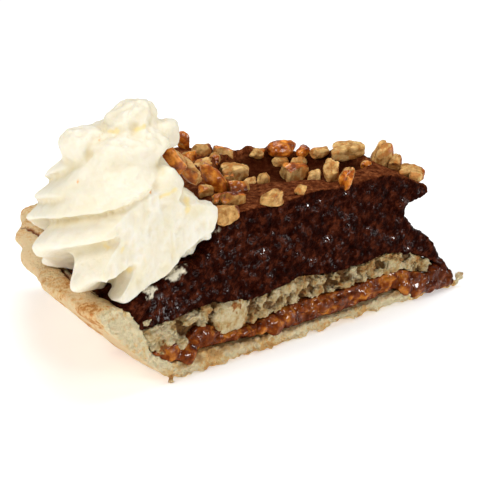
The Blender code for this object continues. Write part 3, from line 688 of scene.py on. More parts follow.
def near_spots(spots, places, ragged, seed):
    """1 at places on the near cut, as (along, height, size), and 0 beyond a ragged edge."""
    reach = along_near_cut(spots)
    near = step_up(from_near_cut(spots), 3.0, 1.5)
    share = np.full(len(spots), -9.0)
    for along_at, height_at, size in places:
        away = np.hypot(reach - along_at, spots[:, 2] - height_at) / size
        share = np.maximum(share, 1.2 - away)
    return step_up(share + ragged * ripple(spots, 1.1, seed, 3), 0.35, 0.65) * near


def near_lines(spots, lines):
    """1 on lines, given as two ends and half a width, falling to 0 beside them."""
    share = np.zeros(len(spots))
    for start, end, width in lines:
        start, way = np.array(start), np.subtract(end, start)
        along_way = np.clip((spots - start) @ way / (way @ way), 0, 1)
        away = np.linalg.norm(spots - start - along_way[:, None] * way, axis=1)
        share = np.maximum(share, 1 - step_up(away / width, 0.5, 1.5))
    return share


# --- lumps, which are modelled once and copied -------------------------------
def squared(spots, squareness):
    """Points on a ball, pushed towards a box where squareness is less than 1."""
    return np.sign(spots) * np.abs(spots) ** squareness


def lump_bases(count, squareness, rough, draw):
    """Irregular lumps in the unit ball, to be copied."""
    made = []
    for _ in range(count):
        lump = add_ball(3)
        spots = squared(read_points(lump), squareness)
        spots *= 1 + rough * ripple(spots, 0.7, draw.uniform(0, SEED_RANGE))[:, None]
        write_points(lump, spots / np.abs(spots).max())
        made.append(lump)
    return made


def put_lump(lump, shape, middle, size, turn, tilt):
    """Write a lump with its half sizes along x, y and z, tilted and then turned."""
    turned = Euler((0, math.radians(tilt), math.radians(turn))).to_matrix()
    write_surface(lump, shape * np.array(size) @ np.array(turned).T + middle)
    return lump


def copy_lump(base, middle, size, turn, tilt=0.0):
    lump = copy_of(base)
    return put_lump(lump, read_points(lump), middle, size, turn, tilt)


# --- the crust ---------------------------------------------------------------
def crust_block():
    """The floor and wall between their lower and upper outlines, with flutes outside."""
    piece = block("pastry", *CRUST_CELLS)
    u, v, w = read_points(piece).T
    across = 2 * v - 1
    floor = np.array([CRUST_TIP] + STATIONS)
    steps = np.arange(len(floor) + len(WALL_OUTSIDE))
    step = u * steps[-1]

    def outline(floor_heights, wall):
        radii = np.concatenate([floor, [radius for radius, _ in wall]])
        heights = np.concatenate([floor_heights, [z for _, z in wall]])
        return np.interp(step, steps, radii), np.interp(step, steps, heights)

    low_radius, low = outline(np.full(len(floor), -TIN_LEVEL), WALL_OUTSIDE)
    high_radius, high = outline(along(CRUST_TOP, floor), WALL_INSIDE)
    high += np.where(step < len(floor) - 1, swell(high_radius, across, *CRUST_SWELL), 0.0)
    radius, height = mix(low_radius, high_radius, w), mix(low, high, w)
    radius += rim_shift(height, across)
    wave = np.sin(across * math.pi * FLUTES / 2 + FLUTE_START)
    wave += 1.2 * ripple(np.stack([across * 4, across * 0 + 5, across * 0], -1), 1, octaves=1)
    radius += (1 - w) * FLUTE_DEPTH * wave * np.maximum(0, height / CREST_HEIGHT) ** 3
    write_points(piece, place(radius, across, height))
    return piece


def crust_crumbs():
    """The crumbs below the near cut, and the pale flake at the tip."""
    draw = random.Random(5)
    bases = lump_bases(4, 0.8, 0.35, draw)
    crumbs = []
    for reach, behind in CRUMB_PLACES:
        size = [draw.uniform(0.7, 1.5), draw.uniform(0.7, 1.3), draw.uniform(0.5, 0.9)]
        middle = behind_cut(reach, behind, size[2] - TIN_LEVEL)
        crumbs.append(copy_lump(draw.choice(bases), middle, size, CRUMB_TURN))
    reach, level, length, tall = TIP_FLAKE
    flake = copy_lump(bases[0], (-reach, 0.0, level), (length, 1.0, tall), 0, FLAKE_TILT)
    drop(bases)
    return [flake] + crumbs


def crust_relief(spots, facing, cut, rim):
    """How far the surface stands out: crumbs on the cuts, soft bumps elsewhere."""
    crumb = ripple(spots, 2.6, 1, 3) * 0.45 + ripple(spots, 1.0, 2) * 0.3
    crumb -= 0.45 * (1 - step_up(cracks(spots + 0.4 * crumb[:, None], 2.1, 8), 0.0, 0.3))
    bumps = ripple(spots, 6.0, 3) * 0.5 + ripple(spots, 1.8, 4) * 0.2
    rough = mix(bumps * mix(0.5, 1.0, rim) - 0.25, crumb - 0.15, cut)
    underside = step_up(-facing[:, 2], 0.5, 0.9) * (1 - step_up(spots[:, 2], 0.0, 2.0))
    return mix(rough, -0.05, underside)


def lift_lower_edge(spots, radius):
    """Fray the cuts' lower edges, and keep all above the underside."""
    ragged = cut_share(spots, FRAY_DEPTH) * (1 - step_up(spots[:, 2], *FRAY_HEIGHTS))
    lift = ragged * (0.7 + 1.5 * ripple(spots * [1, 1, 0], 4.0, 5, 3))
    spots[:, 2] += np.clip(lift, 0, FRAY_MOST) * (1 - step_up(radius, *FRAY_TO))
    spots[:, 2] = np.maximum(spots[:, 2], -TIN_LEVEL)


def rim_cracks(spots):
    """1 in the cracks on the rim, which wander a little, and 0 elsewhere."""
    lines = [((*rim_point(*start), 0), (*rim_point(*end), 0), width)
             for start, end, width in RIM_CRACKS]
    wavy = spots * [1, 1, 0] + 0.5 * ripple(spots, 2.0, 9)[:, None]
    return near_lines(wavy, lines) * step_up(spots[:, 2], *CRACKS_FROM)


def crust_brown(spots, rough, cut, rim):
    """How browned the pastry is: in patches, on the rim and below, least at the tip's flake."""
    brown = 0.4 + 0.9 * ripple(spots, 9.0, 6, 3) + 0.25 * rough
    for at_radius, at_across, size in RIM_BROWN:
        away = np.hypot(*(spots[:, :2] - rim_point(at_radius, at_across)).T) / size
        brown += 0.3 * (1 - step_up(away + 0.9 * ripple(spots, 1.1, 10, 3), 0.4, 1.4)) * rim
    brown += 0.35 * cut * (1 - step_up(spots[:, 2], 0.0, 1.0))
    return brown - step_up(spots[:, 0], 0.5, 1.5)


def make_crust():
    """The pastry: its floor and wall, with a rounded crest, crumbly at the cuts."""
    piece = fuse("pastry", [crust_block()] + crust_crumbs(), CRUST_VOXEL, 3)
    spots, facing = read_surface(piece)
    radius = np.hypot(spots[:, 0], spots[:, 1])
    cut, rim = cut_share(spots, CRUST_CUT), step_up(spots[:, 2], *RIM_FROM)
    rough = crust_relief(spots, facing, cut, rim)
    spots += facing * rough[:, None]
    lift_lower_edge(spots, radius)
    crack = rim_cracks(spots)
    spots -= facing * (CRACK_DEPTH * crack)[:, None]
    write_surface(piece, spots)
    # a band below the filling, darker as moist pastry and as painted shade
    at_cut = behind_cuts(spots) < MOIST_SHADE_DEPTH
    under_filling = step_up(spots[:, 2], *MOIST_SHADE_FROM) * (radius < MOIST_SHADE_TO) * at_cut
    # the cracks are also painted dark, as shade
    paint(piece, crack=crack, cut=cut_share(spots, SECTION_DEPTH),
          brown=crust_brown(spots, rough, cut, rim),
          moist=under_filling * (0.7 + ripple(spots, 3.0, 7)))
    smooth_shade(piece)
    return piece


# --- the filling and the nut layer -------------------------------------------
def layer(name, tip, bottom, top, cells, inset, seed):
    """A layer between two heights, from its tip out to the crust's wall, its cuts set back."""
    piece = block(name, *cells)
    u, v, w = read_points(piece).T
    across = 2 * v - 1
    radius = mix(tip, outer_end(bottom, top, w, across), u)
    height = mix(bottom(radius, across) + GAP, top(radius, across), w)
    spots = tin_points(place(radius, across, height))
    depth = inset[0] + inset[1] * (0.5 + ripple(spots, 3.0, seed, 1))
    depth = depth * (np.abs(across) > 0.999) * step_up(radius, *INSET_FROM)
    depth = depth * (1 - 0.9 * step_up(radius, *INSET_TO))
    spots -= outward_from_cut(spots) * depth[:, None]
    write_surface(piece, spots)
    return piece


def filling_lumps():
    """Bulges at the near cut, each in its place, and smaller ones along both cuts."""
    draw = random.Random(3)
    bases = lump_bases(5, 0.95, 0.3, draw)
    lumps = []
    for reach, height, length, tall in FILLING_LUMPS:
        size = (length / 2, LUMP_DEPTH, tall / 2)
        lumps.append(copy_lump(draw.choice(bases), behind_cut(reach, 0.7, height), size, CUT_TURN))
    for side in (-1, 1):
        reach = LUMPS_FROM
        while reach < LUMPS_TO:
            low, high = float(along(CRUST_TOP, reach)) + 0.8, float(along(FILLING_TOP, reach)) - 0.2
            length = draw.uniform(*LUMP_LENGTH)
            tall = draw.uniform(*LUMP_TALL) * (high - low)
            height = draw.uniform(low + tall / 2, high - tall / 2)
            size = (length / 2, draw.uniform(1.2, 1.7), tall / 2)
            middle = behind_cut(reach, draw.uniform(0.5, 1.3), height, side)
            base, turn = draw.choice(bases), -side * CUT_TURN
            lumps.append(copy_lump(base, middle, size, turn, draw.uniform(-30, 30)))
            reach += LUMP_STEP * draw.uniform(0.5, 1.5)
    drop(bases)
    return lumps


def make_filling():
    """The sticky filling, with bulges and drips at the cuts."""
    inner = layer("pecan_filling", FILLING_TIP, crust_top, filling_top, FILLING_CELLS,
                  FILLING_INSET, 11)
    piece = fuse("pecan_filling", [inner] + filling_lumps(), FILLING_VOXEL, 3)
    spots, facing = read_surface(piece)
    wrinkle = 0.22 * folds(spots * [1, 1, 0.4], 1.9, 13, crest=0.5) + 0.4 * ripple(spots, 3.4, 12)
    spots += facing * (cut_share(spots, FILLING_CUT) * wrinkle)[:, None]
    write_surface(piece, spots)
    soften(piece, 1)
    radius = np.hypot(spots[:, 0], spots[:, 1])
    paint(piece, ledge=step_up(read_normals(piece)[:, 2], *FILLING_LEDGE),
          tip=1 - step_up(radius, *DARK_TIP))
    smooth_shade(piece)
    return piece


def small_chunk(bases, reach, heights, side, draw):
    """A chunk between two heights at a cut, and its middle with how toasted it is."""
    length = draw.uniform(*CHUNK_LENGTH)
    tall = length * draw.uniform(0.6, 0.9)
    height = mix(*heights, draw.uniform(0.3, 0.7))
    size = (length / 2, draw.uniform(1.2, 2.4), tall / 2)
    middle = behind_cut(reach + draw.uniform(-1, 1), size[1] - draw.uniform(-0.2, 0.7), height, side)
    chunk = copy_lump(draw.choice(bases), middle, size, -side * CUT_TURN, draw.uniform(-40, 40))
    return chunk, (*middle, draw.uniform(0.0, 1.0))


def nut_layer_chunks():
    """The chunks at the cuts, and for each one its middle with how toasted it is."""
    draw = random.Random(4)
    bases = lump_bases(6, 0.75, 0.4, draw)
    big = lump_bases(1, 0.7, 0.12, draw)[0]
    made = []
    for chunk in [BIG_CHUNK] + LEFT_CHUNKS:
        reach, height, length, tall = chunk
        base = big if chunk == BIG_CHUNK else draw.choice(bases)
        depth = 0.28 * length
        middle = behind_cut(reach, depth - 0.9, height)
        size = (length / 2, depth, tall / 2)
        made.append((copy_lump(base, middle, size, CUT_TURN, -6), (*middle, 0.0)))
    for side, last in ((-1, CHUNK_TO), (1, FAR_CHUNK_TO)):
        reach = CHUNK_FROM
        while reach < last:
            if side < 0 and abs(reach - BIG_CHUNK[0]) < BIG_CHUNK[2] * 0.66:
                reach = BIG_CHUNK[0] + BIG_CHUNK[2] * 0.67
            low, high = float(along(FILLING_TOP, reach)), float(along(NUT_LAYER_TOP, reach))
            levels = np.linspace(low, high, 3 if high - low > TWO_ROWS_FROM else 2).tolist()
            for heights in zip(levels, levels[1:]):
                made.append(small_chunk(bases, reach, heights, side, draw))
            reach += CHUNK_STEP * draw.uniform(0.6, 1.4)
    drop(bases + [big])
    return zip(*made)


def nut_layer_relief(spots, big_middle):
    """How far the surface stands out: grains, with clefts between the crumbs on the cuts."""
    grain = 0.35 * ripple(spots, 1.6, 22) + 0.2 * ripple(spots, 0.9, 23)
    warped = spots * [1, 1, 1.5] + 2.6 * grain[:, None]
    away = np.abs((spots - big_middle) / [BIG_CHUNK[2] * 0.6] * 2 ** 0.5).max(1)
    off_big = step_up(away, 0.7, 1.0)
    flakes = (1 - step_up(cracks(warped, 4.6, 26), 0.0, 0.16)) * off_big
    crumbs = (1 - step_up(cracks(warped, 1.9, 27), 0.0, 0.4)) * off_big
    return cut_share(spots, NUT_LAYER_CUT) * (grain - 0.6 * flakes - 0.3 * crumbs)


def nearest_tone(spots, middles):
    """For each point, how toasted the chunk is that it lies nearest to."""
    nearest = np.zeros(len(spots))
    closest = np.full(len(spots), np.inf)
    for x, y, height, tone in middles:
        away = ((spots - [x, y, height]) ** 2).sum(1)
        nearest = np.where(away < closest, tone, nearest)
        closest = np.minimum(closest, away)
    return nearest


def make_nut_layer():
    """The layer of pale crumbly pieces below the mousse, with the gaps between them darkened by
    painted shade.
    """
    inner = layer("nut_layer_crumble", NUT_LAYER_TIP, filling_top, nut_layer_top,
                  NUT_LAYER_CELLS, NUT_LAYER_INSET, 21)
    chunks, middles = nut_layer_chunks()
    piece = fuse("nut_layer_crumble", [inner, *chunks], NUT_LAYER_VOXEL, 2)
    spots, facing = read_surface(piece)
    spots += facing * nut_layer_relief(spots, middles[0][:3])[:, None]
    write_surface(piece, spots)
    toast = 0.1 + 0.35 * nearest_tone(spots, middles) + 0.6 * ripple(spots, 3.0, 24, 3)
    toast += near_spots(spots, TOASTED, 0.9, 28)
    # painted shade: darker behind the cuts and in the creases between the crumbs
    behind = behind_cuts(spots) + 0.5 * ripple(spots, 2.0, 25) + 0.6 * creases(piece, 14, 0.6)
    paint(piece, toast=toast, gap=step_up(behind, *GAP_SHADE_DEPTHS))
    smooth_shade(piece)
    return piece


# --- the mousse --------------------------------------------------------------
def mousse_block():
    """The mousse between the nut layer and its own top, with the scooped tip's outline."""
    piece = block("dark_mousse", *MOUSSE_CELLS)
    u, v, w = read_points(piece).T
    across = 2 * v - 1
    rows = np.linspace(0, 1, len(MOUSSE_TIP))
    tip_radius = np.interp(w, rows, [radius for radius, _ in MOUSSE_TIP])
    tip_height = np.interp(w, rows, [height for _, height in MOUSSE_TIP])
    radius = mix(tip_radius, outer_end(nut_layer_top, mousse_top, w, across), u)
    bend = np.clip(1 - (radius - tip_radius) / (TIP_REACH - MOUSSE_TIP[0][0]), 0, 1)
    near_cut = np.full(len(w), -1.0)
    low = nut_layer_top(tip_radius, near_cut) + GAP
    tip_share = np.clip((tip_height - low) / (mousse_top(tip_radius, near_cut) - low), 0, 1)
    share = np.where((w > 0) & (w < 1), mix(w, tip_share, bend), w)
    height = mix(nut_layer_top(radius, across) + GAP, mousse_top(radius, across), share)
    write_points(piece, place(radius, across, height))
    return piece


def mousse_relief(spots, cut, upward):
    """How far the surface stands out: torn on the cuts, drawn by a spatula on top."""
    rough = 0.55 * ripple(spots, 4.2, 31, 3) + 0.5 * folds(spots, 2.3, 32, 3)
    rough += 0.25 * folds(spots, 1.3, 39)
    swirl = 0.3 * ripple(spots * [0.7, 1.2, 0.7], 3.6, 33, 3) + 0.4 * folds(spots, 1.7, 34)
    return mix(rough * cut, swirl, upward)


def make_mousse():
    """The mousse: a scooped tip, rough cuts and a spatula-swirled top."""
    piece = mousse_block()
    remesh(piece, MOUSSE_VOXEL)
    soften(piece, 3)
    spots, facing = read_surface(piece)
    radius = np.hypot(spots[:, 0], spots[:, 1])
    behind = from_near_cut(spots) + 3 * ripple(spots, 5.0, 37)
    torn = step_up(radius, *TORN_FROM) * step_up(behind, *TORN_TO)
    upward = step_up(facing[:, 2], *TOP_FACES) * step_up(spots[:, 2], *TOP_FROM) * (1 - torn)
    cut = np.maximum(cut_share(spots, MOUSSE_CUT), torn) * (1 - upward)
    spots += facing * mousse_relief(spots, cut, upward)[:, None]
    across = np.arctan2(spots[:, 1], -spots[:, 0]) / HALF_ANGLE
    inside = inside_hollow(radius, across)
    lip = np.exp(-((inside - LIP_INSIDE) / LIP_WIDTH) ** 2) * step_up(across, *LIP_ACROSS) * upward
    spots[:, 2] += LIP_HEIGHT * lip * (1 + ripple(spots, 5.0, 38))
    write_surface(piece, spots)
    below = step_up(mousse_top(radius, across) - spots[:, 2], *GLINTS_BELOW)
    shaded = mix(0.35, 1.0, step_up(across - HOLLOW_ACROSS, -0.2, 0.4))
    ledge = step_up(read_normals(piece)[:, 2], *MOUSSE_LEDGE)
    # painted shade: the hollow is darker, the most towards the far cut
    paint(piece, ledge=ledge * cut * below, upward=upward,
          deep=step_up(inside, -0.02, 0.12) * shaded,
          smear=near_spots(spots, CREAM_SMEARS, 0.7, 35),
          wet=near_spots(spots, [WET_PATCH], 0.5, 36))
    smooth_shade(piece)
    return piece


# --- the cream ---------------------------------------------------------------
def cream_middle(height=0.0):
    """The rosette's middle from the pie's axis, which leans near the top."""
    x, y = cut_point(CREAM_FROM_AXIS, CREAM_BEHIND_CUT)
    lean = CREAM_LEAN * np.maximum(0.0, height - LEAN_START) / (CREAM_HEIGHT - LEAN_START)
    return x + lean, y


def ground(x, y):
    """The height of what the cream lies on, the mousse or the crust's crest."""
    radius = np.hypot(x, y)
    across = np.clip(np.arctan2(y, -x) / HALF_ANGLE, -1, 1)
    crest = along(CREST_BELOW_CREAM, radius - rim_shift(CREST_LEVEL, across))
    crest = np.where(radius > CREST_FROM, crest, 0)
    return np.maximum(mousse_top(np.minimum(radius, MOUSSE_TO), across), crest)


def front_share(azimuth, height):
    """1 on the rosette's smooth front, where its grooves fade, and 0 elsewhere."""
    left, full_left, full_right, right = SMOOTH_FRONT
    low, full_low, full_high, high = SMOOTH_HEIGHTS
    level = step_up(height, low, full_low) * (1 - step_up(height, full_high, high))
    return level * step_up(azimuth, left, full_left) * (1 - step_up(azimuth, full_right, right))


def cream_radius(height, grooves=0.0, fades=0.0, azimuth=0.0):
    foot = np.clip((FOOT_HEIGHT - height) / FOOT_FADE, 0, 1)
    depth = RIDGE_DEPTH * (1 + FOOT_DEPTH * foot)
    depth = depth * grooves * (1 - fades * front_share(azimuth % 360, height))
    return along(CREAM_OUTLINE, height, 0.8) * (1 - depth)


def swollen(radius, azimuth, height):
    """The radius with the swells and dents, wider towards the near cut."""
    for azimuth_at, height_at, half, tall, out in CREAM_SWELLS:
        off = (azimuth - azimuth_at + 180) % 360 - 180
        radius = radius + out * np.exp(-(off / half) ** 2 - ((height - height_at) / tall) ** 2)
    facing = np.maximum(0.0, np.cos(np.radians(azimuth - SPREAD_AZIMUTH))) ** 2
    spread = np.clip((SPREAD_TOP - height) / SPREAD_FADE, 0, 1) * step_up(height, *SPREAD_FOOT)
    return radius * (1 + SPREAD * facing * spread)


def cream_table():
    """The points of the rosette's outside, by ring and column; its ridges wind and droop."""
    turn = np.arange(COLUMNS_PER_RIDGE * len(RIDGES)) / COLUMNS_PER_RIDGE
    ridge = turn.astype(int)
    starts = np.array(RIDGES + [RIDGES[0] + 360], float)
    azimuth = mix(starts[ridge], starts[ridge + 1], turn - ridge)
    grooves = np.sin(math.pi * (turn - ridge) ** GROOVE_SKEW) ** GROOVE_SHARPNESS
    grooves = grooves * np.array(GROOVE_DEPTHS)[ridge]
    rings = np.linspace(0, 1, CREAM_RINGS + 1)[:, None]
    share = np.clip((rings - CLOSED_BELOW) / (CLOSED_ABOVE - CLOSED_BELOW), 0, 1)
    height = mix(SHELL_BOTTOM, CREAM_OUTLINE[-1][0], share)
    fullness = np.clip((CREAM_HEIGHT - height) / DROOP_FADE, 0, 1) * step_up(height, *DROOP_FOOT)
    level = height - 2 * RIDGE_DROOP * grooves * fullness
    steps = COLUMN_STEP * np.arange(len(turn))
    turned = azimuth + along(RIDGE_TURN, level, 3.0)
    turned = np.maximum.accumulate(turned - steps, axis=1) + steps
    radius = cream_radius(level, grooves, np.array(GROOVE_FADES)[ridge], turned)
    radius = swollen(radius, turned, level) * np.minimum(1, rings / CLOSED_BELOW)
    closing = step_up(rings, CLOSED_ABOVE, 1.0)
    radius = radius * (1 - closing)
    height = mix(height, CREAM_HEIGHT, closing)
    x, y = cream_middle(height)
    way = np.radians(turned)
    return np.stack(np.broadcast_arrays(x + radius * np.cos(way), y + radius * np.sin(way),
                                        height), -1)


def below_cream():
    """A block of all that the cream lies on, with its gap."""
    piece = block("below_cream", GROUND_CELLS, GROUND_CELLS, 1)
    middle_x, middle_y = cream_middle()
    u, v, w = read_points(piece).T
    x = middle_x + (u - 0.5) * GROUND_CELLS * GROUND_CELL
    y = middle_y + (v - 0.5) * GROUND_CELLS * GROUND_CELL
    write_points(piece, slice_points(x, y, w * (ground(x, y) + CREAM_GAP)))
    return piece


def cream_shell():
    """The rosette, shaped from a sphere, cut flush with the near cut and to what it lies on."""
    table = cream_table()
    columns = table.shape[1]
    deselect()
    bpy.ops.mesh.primitive_uv_sphere_add(segments=columns, ring_count=CREAM_RINGS, radius=1)
    piece = bpy.context.object
    ball = read_points(piece)
    turn = np.arctan2(ball[:, 1], ball[:, 0]) / math.tau % 1
    rise = 1 - np.arccos(np.clip(ball[:, 2], -1, 1)) / math.pi
    ring, column = (np.rint(share).astype(int) for share in (rise * CREAM_RINGS, turn * columns))
    write_surface(piece, table[ring, column % columns])
    open_edit(piece)
    bpy.ops.mesh.bisect(plane_co=slice_points(0, 0, 0), plane_no=(CUT_SIN, -CUT_COS, 0),
                        use_fill=True, clear_outer=True)
    close_edit()
    below = below_cream()
    modify(piece, "BOOLEAN", operation="DIFFERENCE", object=below, solver="EXACT")
    drop([below])
    return piece


def cream_lump(tipward, behind, height, size, tilt):
    """A rounded lump of cream with its sizes along the cut, behind it and up."""
    lump = add_ball(4)
    middle = behind_cut(CREAM_FROM_AXIS - tipward, behind, height)
    return put_lump(lump, squared(read_points(lump), LUMP_SQUARENESS), middle, size, CUT_TURN, tilt)


def cream_relief(spots, cut):
    """How far the surface stands out: soft, torn beside the nuts, and smeared on the cut."""
    tipward = CREAM_FROM_AXIS - along_near_cut(spots)
    torn = step_up(from_near_cut(spots), *RAGGED_DEPTHS) * step_up(tipward, *RAGGED_FROM)
    torn = torn + 0.5 * step_up(spots[:, 2], *RAGGED_PEAK)
    relief = 0.3 * ripple(spots, 7.0, 41) + 0.15 * ripple(spots, 2.2, 43, 3)
    relief += torn * 0.8 * ripple(spots, 2.6, 47, 3)
    smear = 0.8 * ripple(spots * [1, 1, 0.45], 5.0, 42, 3)
    smear += 0.45 * folds(spots * [1, 1, 0.7], 2.4, 45)
    return mix(relief, smear, cut)


def make_cream():
    """A star-piped rosette with its lumps, smeared where it is cut."""
    piece = cream_shell()
    piece = join("cream_rosette", [piece] + [cream_lump(*lump) for lump in CREAM_LUMPS])
    remesh(piece, CREAM_VOXEL)
    grow(piece, SLIT)
    remesh(piece, CREAM_VOXEL)
    grow(piece, -SLIT)
    soften(piece, 3)
    spots, facing = read_surface(piece)
    cut = 1 - step_up(from_near_cut(spots), *CREAM_CUT)
    cut *= step_up(facing @ [CUT_SIN, -CUT_COS, 0], *CREAM_CUT_FACES)
    spots += facing * cream_relief(spots, cut)[:, None]
    write_surface(piece, spots)
    # painted shade: darker and yellower in the creases
    paint(piece, crease=creases(piece, 60, 0.9), cut=cut)
    # yellow streaks of painted shade along grooves and creases, and orange specks
    wavy = spots + 0.35 * ripple(spots, 1.5, 46)[:, None]
    for name, lines in (("groove_shade", CREAM_SHADE_STREAKS), ("speck", CREAM_SPECKS)):
        ends = [(behind_cut(*start), behind_cut(*end), width) for start, end, width in lines]
        paint(piece, **{name: near_lines(wavy, ends)})
    smooth_shade(piece)
    return piece


# --- the chopped nuts --------------------------------------------------------
def nut_shape(shape, draw):
    """A chopped nut in a unit box, made from a ball with its sides chopped off."""
    size, chops, lumps = NUT_SHAPES[shape]
    piece = add_ball(4, 0.5)
    bpy.ops.transform.resize(value=size)
    bpy.ops.object.transform_apply(scale=True)
    open_edit(piece)
    for side in CHOP_SIDES[:chops]:
        way = Vector(side) + Vector([draw.uniform(-CHOP_TILT, CHOP_TILT) for _ in range(3)])
        reach = draw.uniform(*CHOP_REACH) * 0.5 * abs(Vector(side).dot(Vector(size)))
        bpy.ops.mesh.select_all(action="SELECT")
        bpy.ops.mesh.bisect(plane_co=Vector(side) * reach, plane_no=way.normalized(),
                            use_fill=True, clear_outer=True)
    close_edit()
    modify(piece, "REMESH", mode="VOXEL", voxel_size=1 / NUT_VOXELS)
    soften(piece, 1)
    spots, facing = read_points(piece), read_normals(piece)
    seed = draw.uniform(0, SEED_RANGE)
    spots += facing * (lumps * ripple(spots, 0.5, seed))[:, None]
    spots += facing * (NUT_GRAIN * ripple(spots, 0.16, seed))[:, None]
    groove = np.exp(-((spots[:, 1] + 0.06 * spots[:, 0]) / GROOVE_WIDTH) ** 2)
    spots -= facing * (GROOVE_CUT * groove * (spots[:, 2] > 0))[:, None]
    low, high = spots.min(0), spots.max(0)
    write_points(piece, (spots - (low + high) / 2) / (high - low))
    return piece


def clear_of_cream(radius, across, size):
    """The x and y of a nut, moved out of the rosette's circle where it lies in it."""
    spot = rim_point(radius, across)
    middle = Vector(cream_middle())
    away = Vector(spot) - middle
    wanted = float(cream_radius(mousse_top(radius, across))) + size / 2 + NUT_CLEARANCE
    return middle + away.normalized() * wanted if away.length < wanted else spot


def nut_place(radius, across, length, height):
    """The middle of a nut that has sunk a little into the mousse, clear of the cream."""
    x, y = clear_of_cream(radius, across, length)
    level = float(mousse_top(math.hypot(x, y), math.atan2(y, -x) / HALF_ANGLE))
    return x, y, level + height * (0.5 - NUT_SINK)


def place_nut(base, middle, size, tilt, side, tone):
    """A copy of a nut's shape at its size and place, turned, with its skin on one side."""
    piece = copy_of(base)
    turned = Euler([math.radians(angle) for angle in tilt]).to_matrix().to_4x4()
    piece.data.transform(turned @ Matrix.Diagonal((*size, 1)))
    piece.data.update()
    facing = read_normals(piece)
    spots = read_points(piece) + middle
    skin = np.ones(len(spots))
    if SKIN_SIDES[side]:
        towards = facing @ np.array(Vector(SKIN_SIDES[side]).normalized())
        skin = step_up(towards + 0.14 * ripple(spots, 3.0, tone), *SKIN_EDGE)
    write_surface(piece, spots)
    paint(piece, skin=skin, tone=np.full(len(spots), tone))
    return piece


def seen_nuts(bases, draw):
    for radius, across, *size, turn, shape, side, tone in CHOPPED_NUTS:
        base = draw.choice(bases[shape])
        middle = nut_place(radius, across, size[0], size[2])
        tilt = (draw.uniform(-NUT_TILT, NUT_TILT), draw.uniform(-NUT_TILT, NUT_TILT), turn)
        yield place_nut(base, middle, size, tilt, side, tone)


def leaning_nuts(bases, draw):
    middle_x, middle_y = cream_middle()
    for azimuth, reach, level, *size, lean, turn, shape, side, tone in LEANING_NUTS:
        way = math.radians(azimuth)
        middle = (middle_x + reach * math.cos(way), middle_y + reach * math.sin(way), level)
        yield place_nut(draw.choice(bases[shape]), middle, size, (0, lean, turn), side, tone)


def hidden_nuts(bases, draw):
    for _ in range(HIDDEN_NUTS):
        radius, across = draw.uniform(*HIDDEN_RADII), draw.uniform(*HIDDEN_ACROSS)
        length = draw.uniform(*HIDDEN_LENGTH)
        height = length * draw.uniform(0.5, 0.8)
        turn = draw.uniform(0, 360)
        base = draw.choice(bases[draw.choice(HIDDEN_SHAPES)])
        side = draw.choice(HIDDEN_SIDES)
        middle = nut_place(radius, across, length, height)
        size, tilt = (length, 0.72 * length, height), (draw.uniform(-NUT_TILT, NUT_TILT), 0, turn)
        yield place_nut(base, middle, size, tilt, side, draw.uniform(0.2, 0.8))


def make_nuts():
    """The chopped nuts on the mousse, those that lean on the cream, and those behind it."""
    draw = random.Random(7)
    bases = {shape: [nut_shape(shape, draw) for _ in range(2)] for shape in NUT_SHAPES}
    placed = [nut for kind in (seen_nuts, leaning_nuts, hidden_nuts) for nut in kind(bases, draw)]
    drop(sum(bases.values(), []))
    whole = join("chopped_pecans", placed)
    # painted shade in the creases
    paint(whole, crease=creases(whole, 14, 0.16))
    smooth_shade(whole)
    return whole


# --- nodes of the materials --------------------------------------------------
def rgb(red, green, blue):
    return (red, green, blue, 1)


def start_material(name, **values):
    """A Principled material; an underscore in a socket's name stands for a space."""
    made = bpy.data.materials.new(name)
    made.use_nodes = True
    tree = made.node_tree
    shader = tree.nodes["Principled BSDF"]
    for socket, value in values.items():
        shader.inputs[socket.replace("_", " ")].default_value = value
    return made, tree, shader


def add(tree, kind, inputs=None, **settings):
    """A node with its settings; each input is a value or another node's output."""
    made = tree.nodes.new("ShaderNode" + kind)
    for name, value in settings.items():
        setattr(made, name, value)
    for name, value in (inputs or {}).items():
        if isinstance(value, bpy.types.NodeSocket):
            tree.links.new(value, made.inputs[name])
        else:
            made.inputs[name].default_value = value
    return made


def speckle(tree, size, detail=3.0, roughness=0.55, stretch=(1, 1, 1), offset=0.0):
    """Noise on the piece's own coordinates, with features of a size in mm."""
    position = add(tree, "TexCoord").outputs["Object"]
    scale = [1 / (size * MM * factor) for factor in stretch]
    turned = add(tree, "Mapping", {"Vector": position, "Scale": scale, "Location": (offset,) * 3})
    made = add(tree, "TexNoise", {"Vector": turned.outputs["Vector"], "Scale": 1.0,
                                  "Detail": detail, "Roughness": roughness})
    return made.outputs["Fac"]


def spread(tree, share, low, high, to_low=0.0, to_high=1.0):
    """A share stretched from low..high to another range."""
    return add(tree, "MapRange", {"Value": share, "From Min": low, "From Max": high,
                                  "To Min": to_low, "To Max": to_high}).outputs["Result"]


def painted(tree, name, at_none=0.0, at_full=1.0):
    """The share painted on the piece, or the values that it stands for at 0 and at 1."""
    share = add(tree, "Attribute", attribute_name=name).outputs["Fac"]
    if (at_none, at_full) == (0.0, 1.0):
        return share
    return spread(tree, share, 0.0, 1.0, at_none, at_full)


def ramp(tree, share, stops):
    """Colours along a share, as (place, colour)."""
    made = add(tree, "ValToRGB", {"Fac": share})
    points = made.color_ramp.elements
    while len(points) < len(stops):
        points.new(0.5)
    for point, (where, colour) in zip(points, stops):
        point.position = where
        point.color = rgb(*colour)
    return made.outputs["Color"]


def blend(tree, share, low, high):
    """Two colours mixed by a share; each is three numbers or another node's output."""
    low, high = (rgb(*colour) if isinstance(colour, tuple) else colour for colour in (low, high))
    return add(tree, "Mix", {0: share, 6: low, 7: high}, data_type="RGBA").outputs[2]


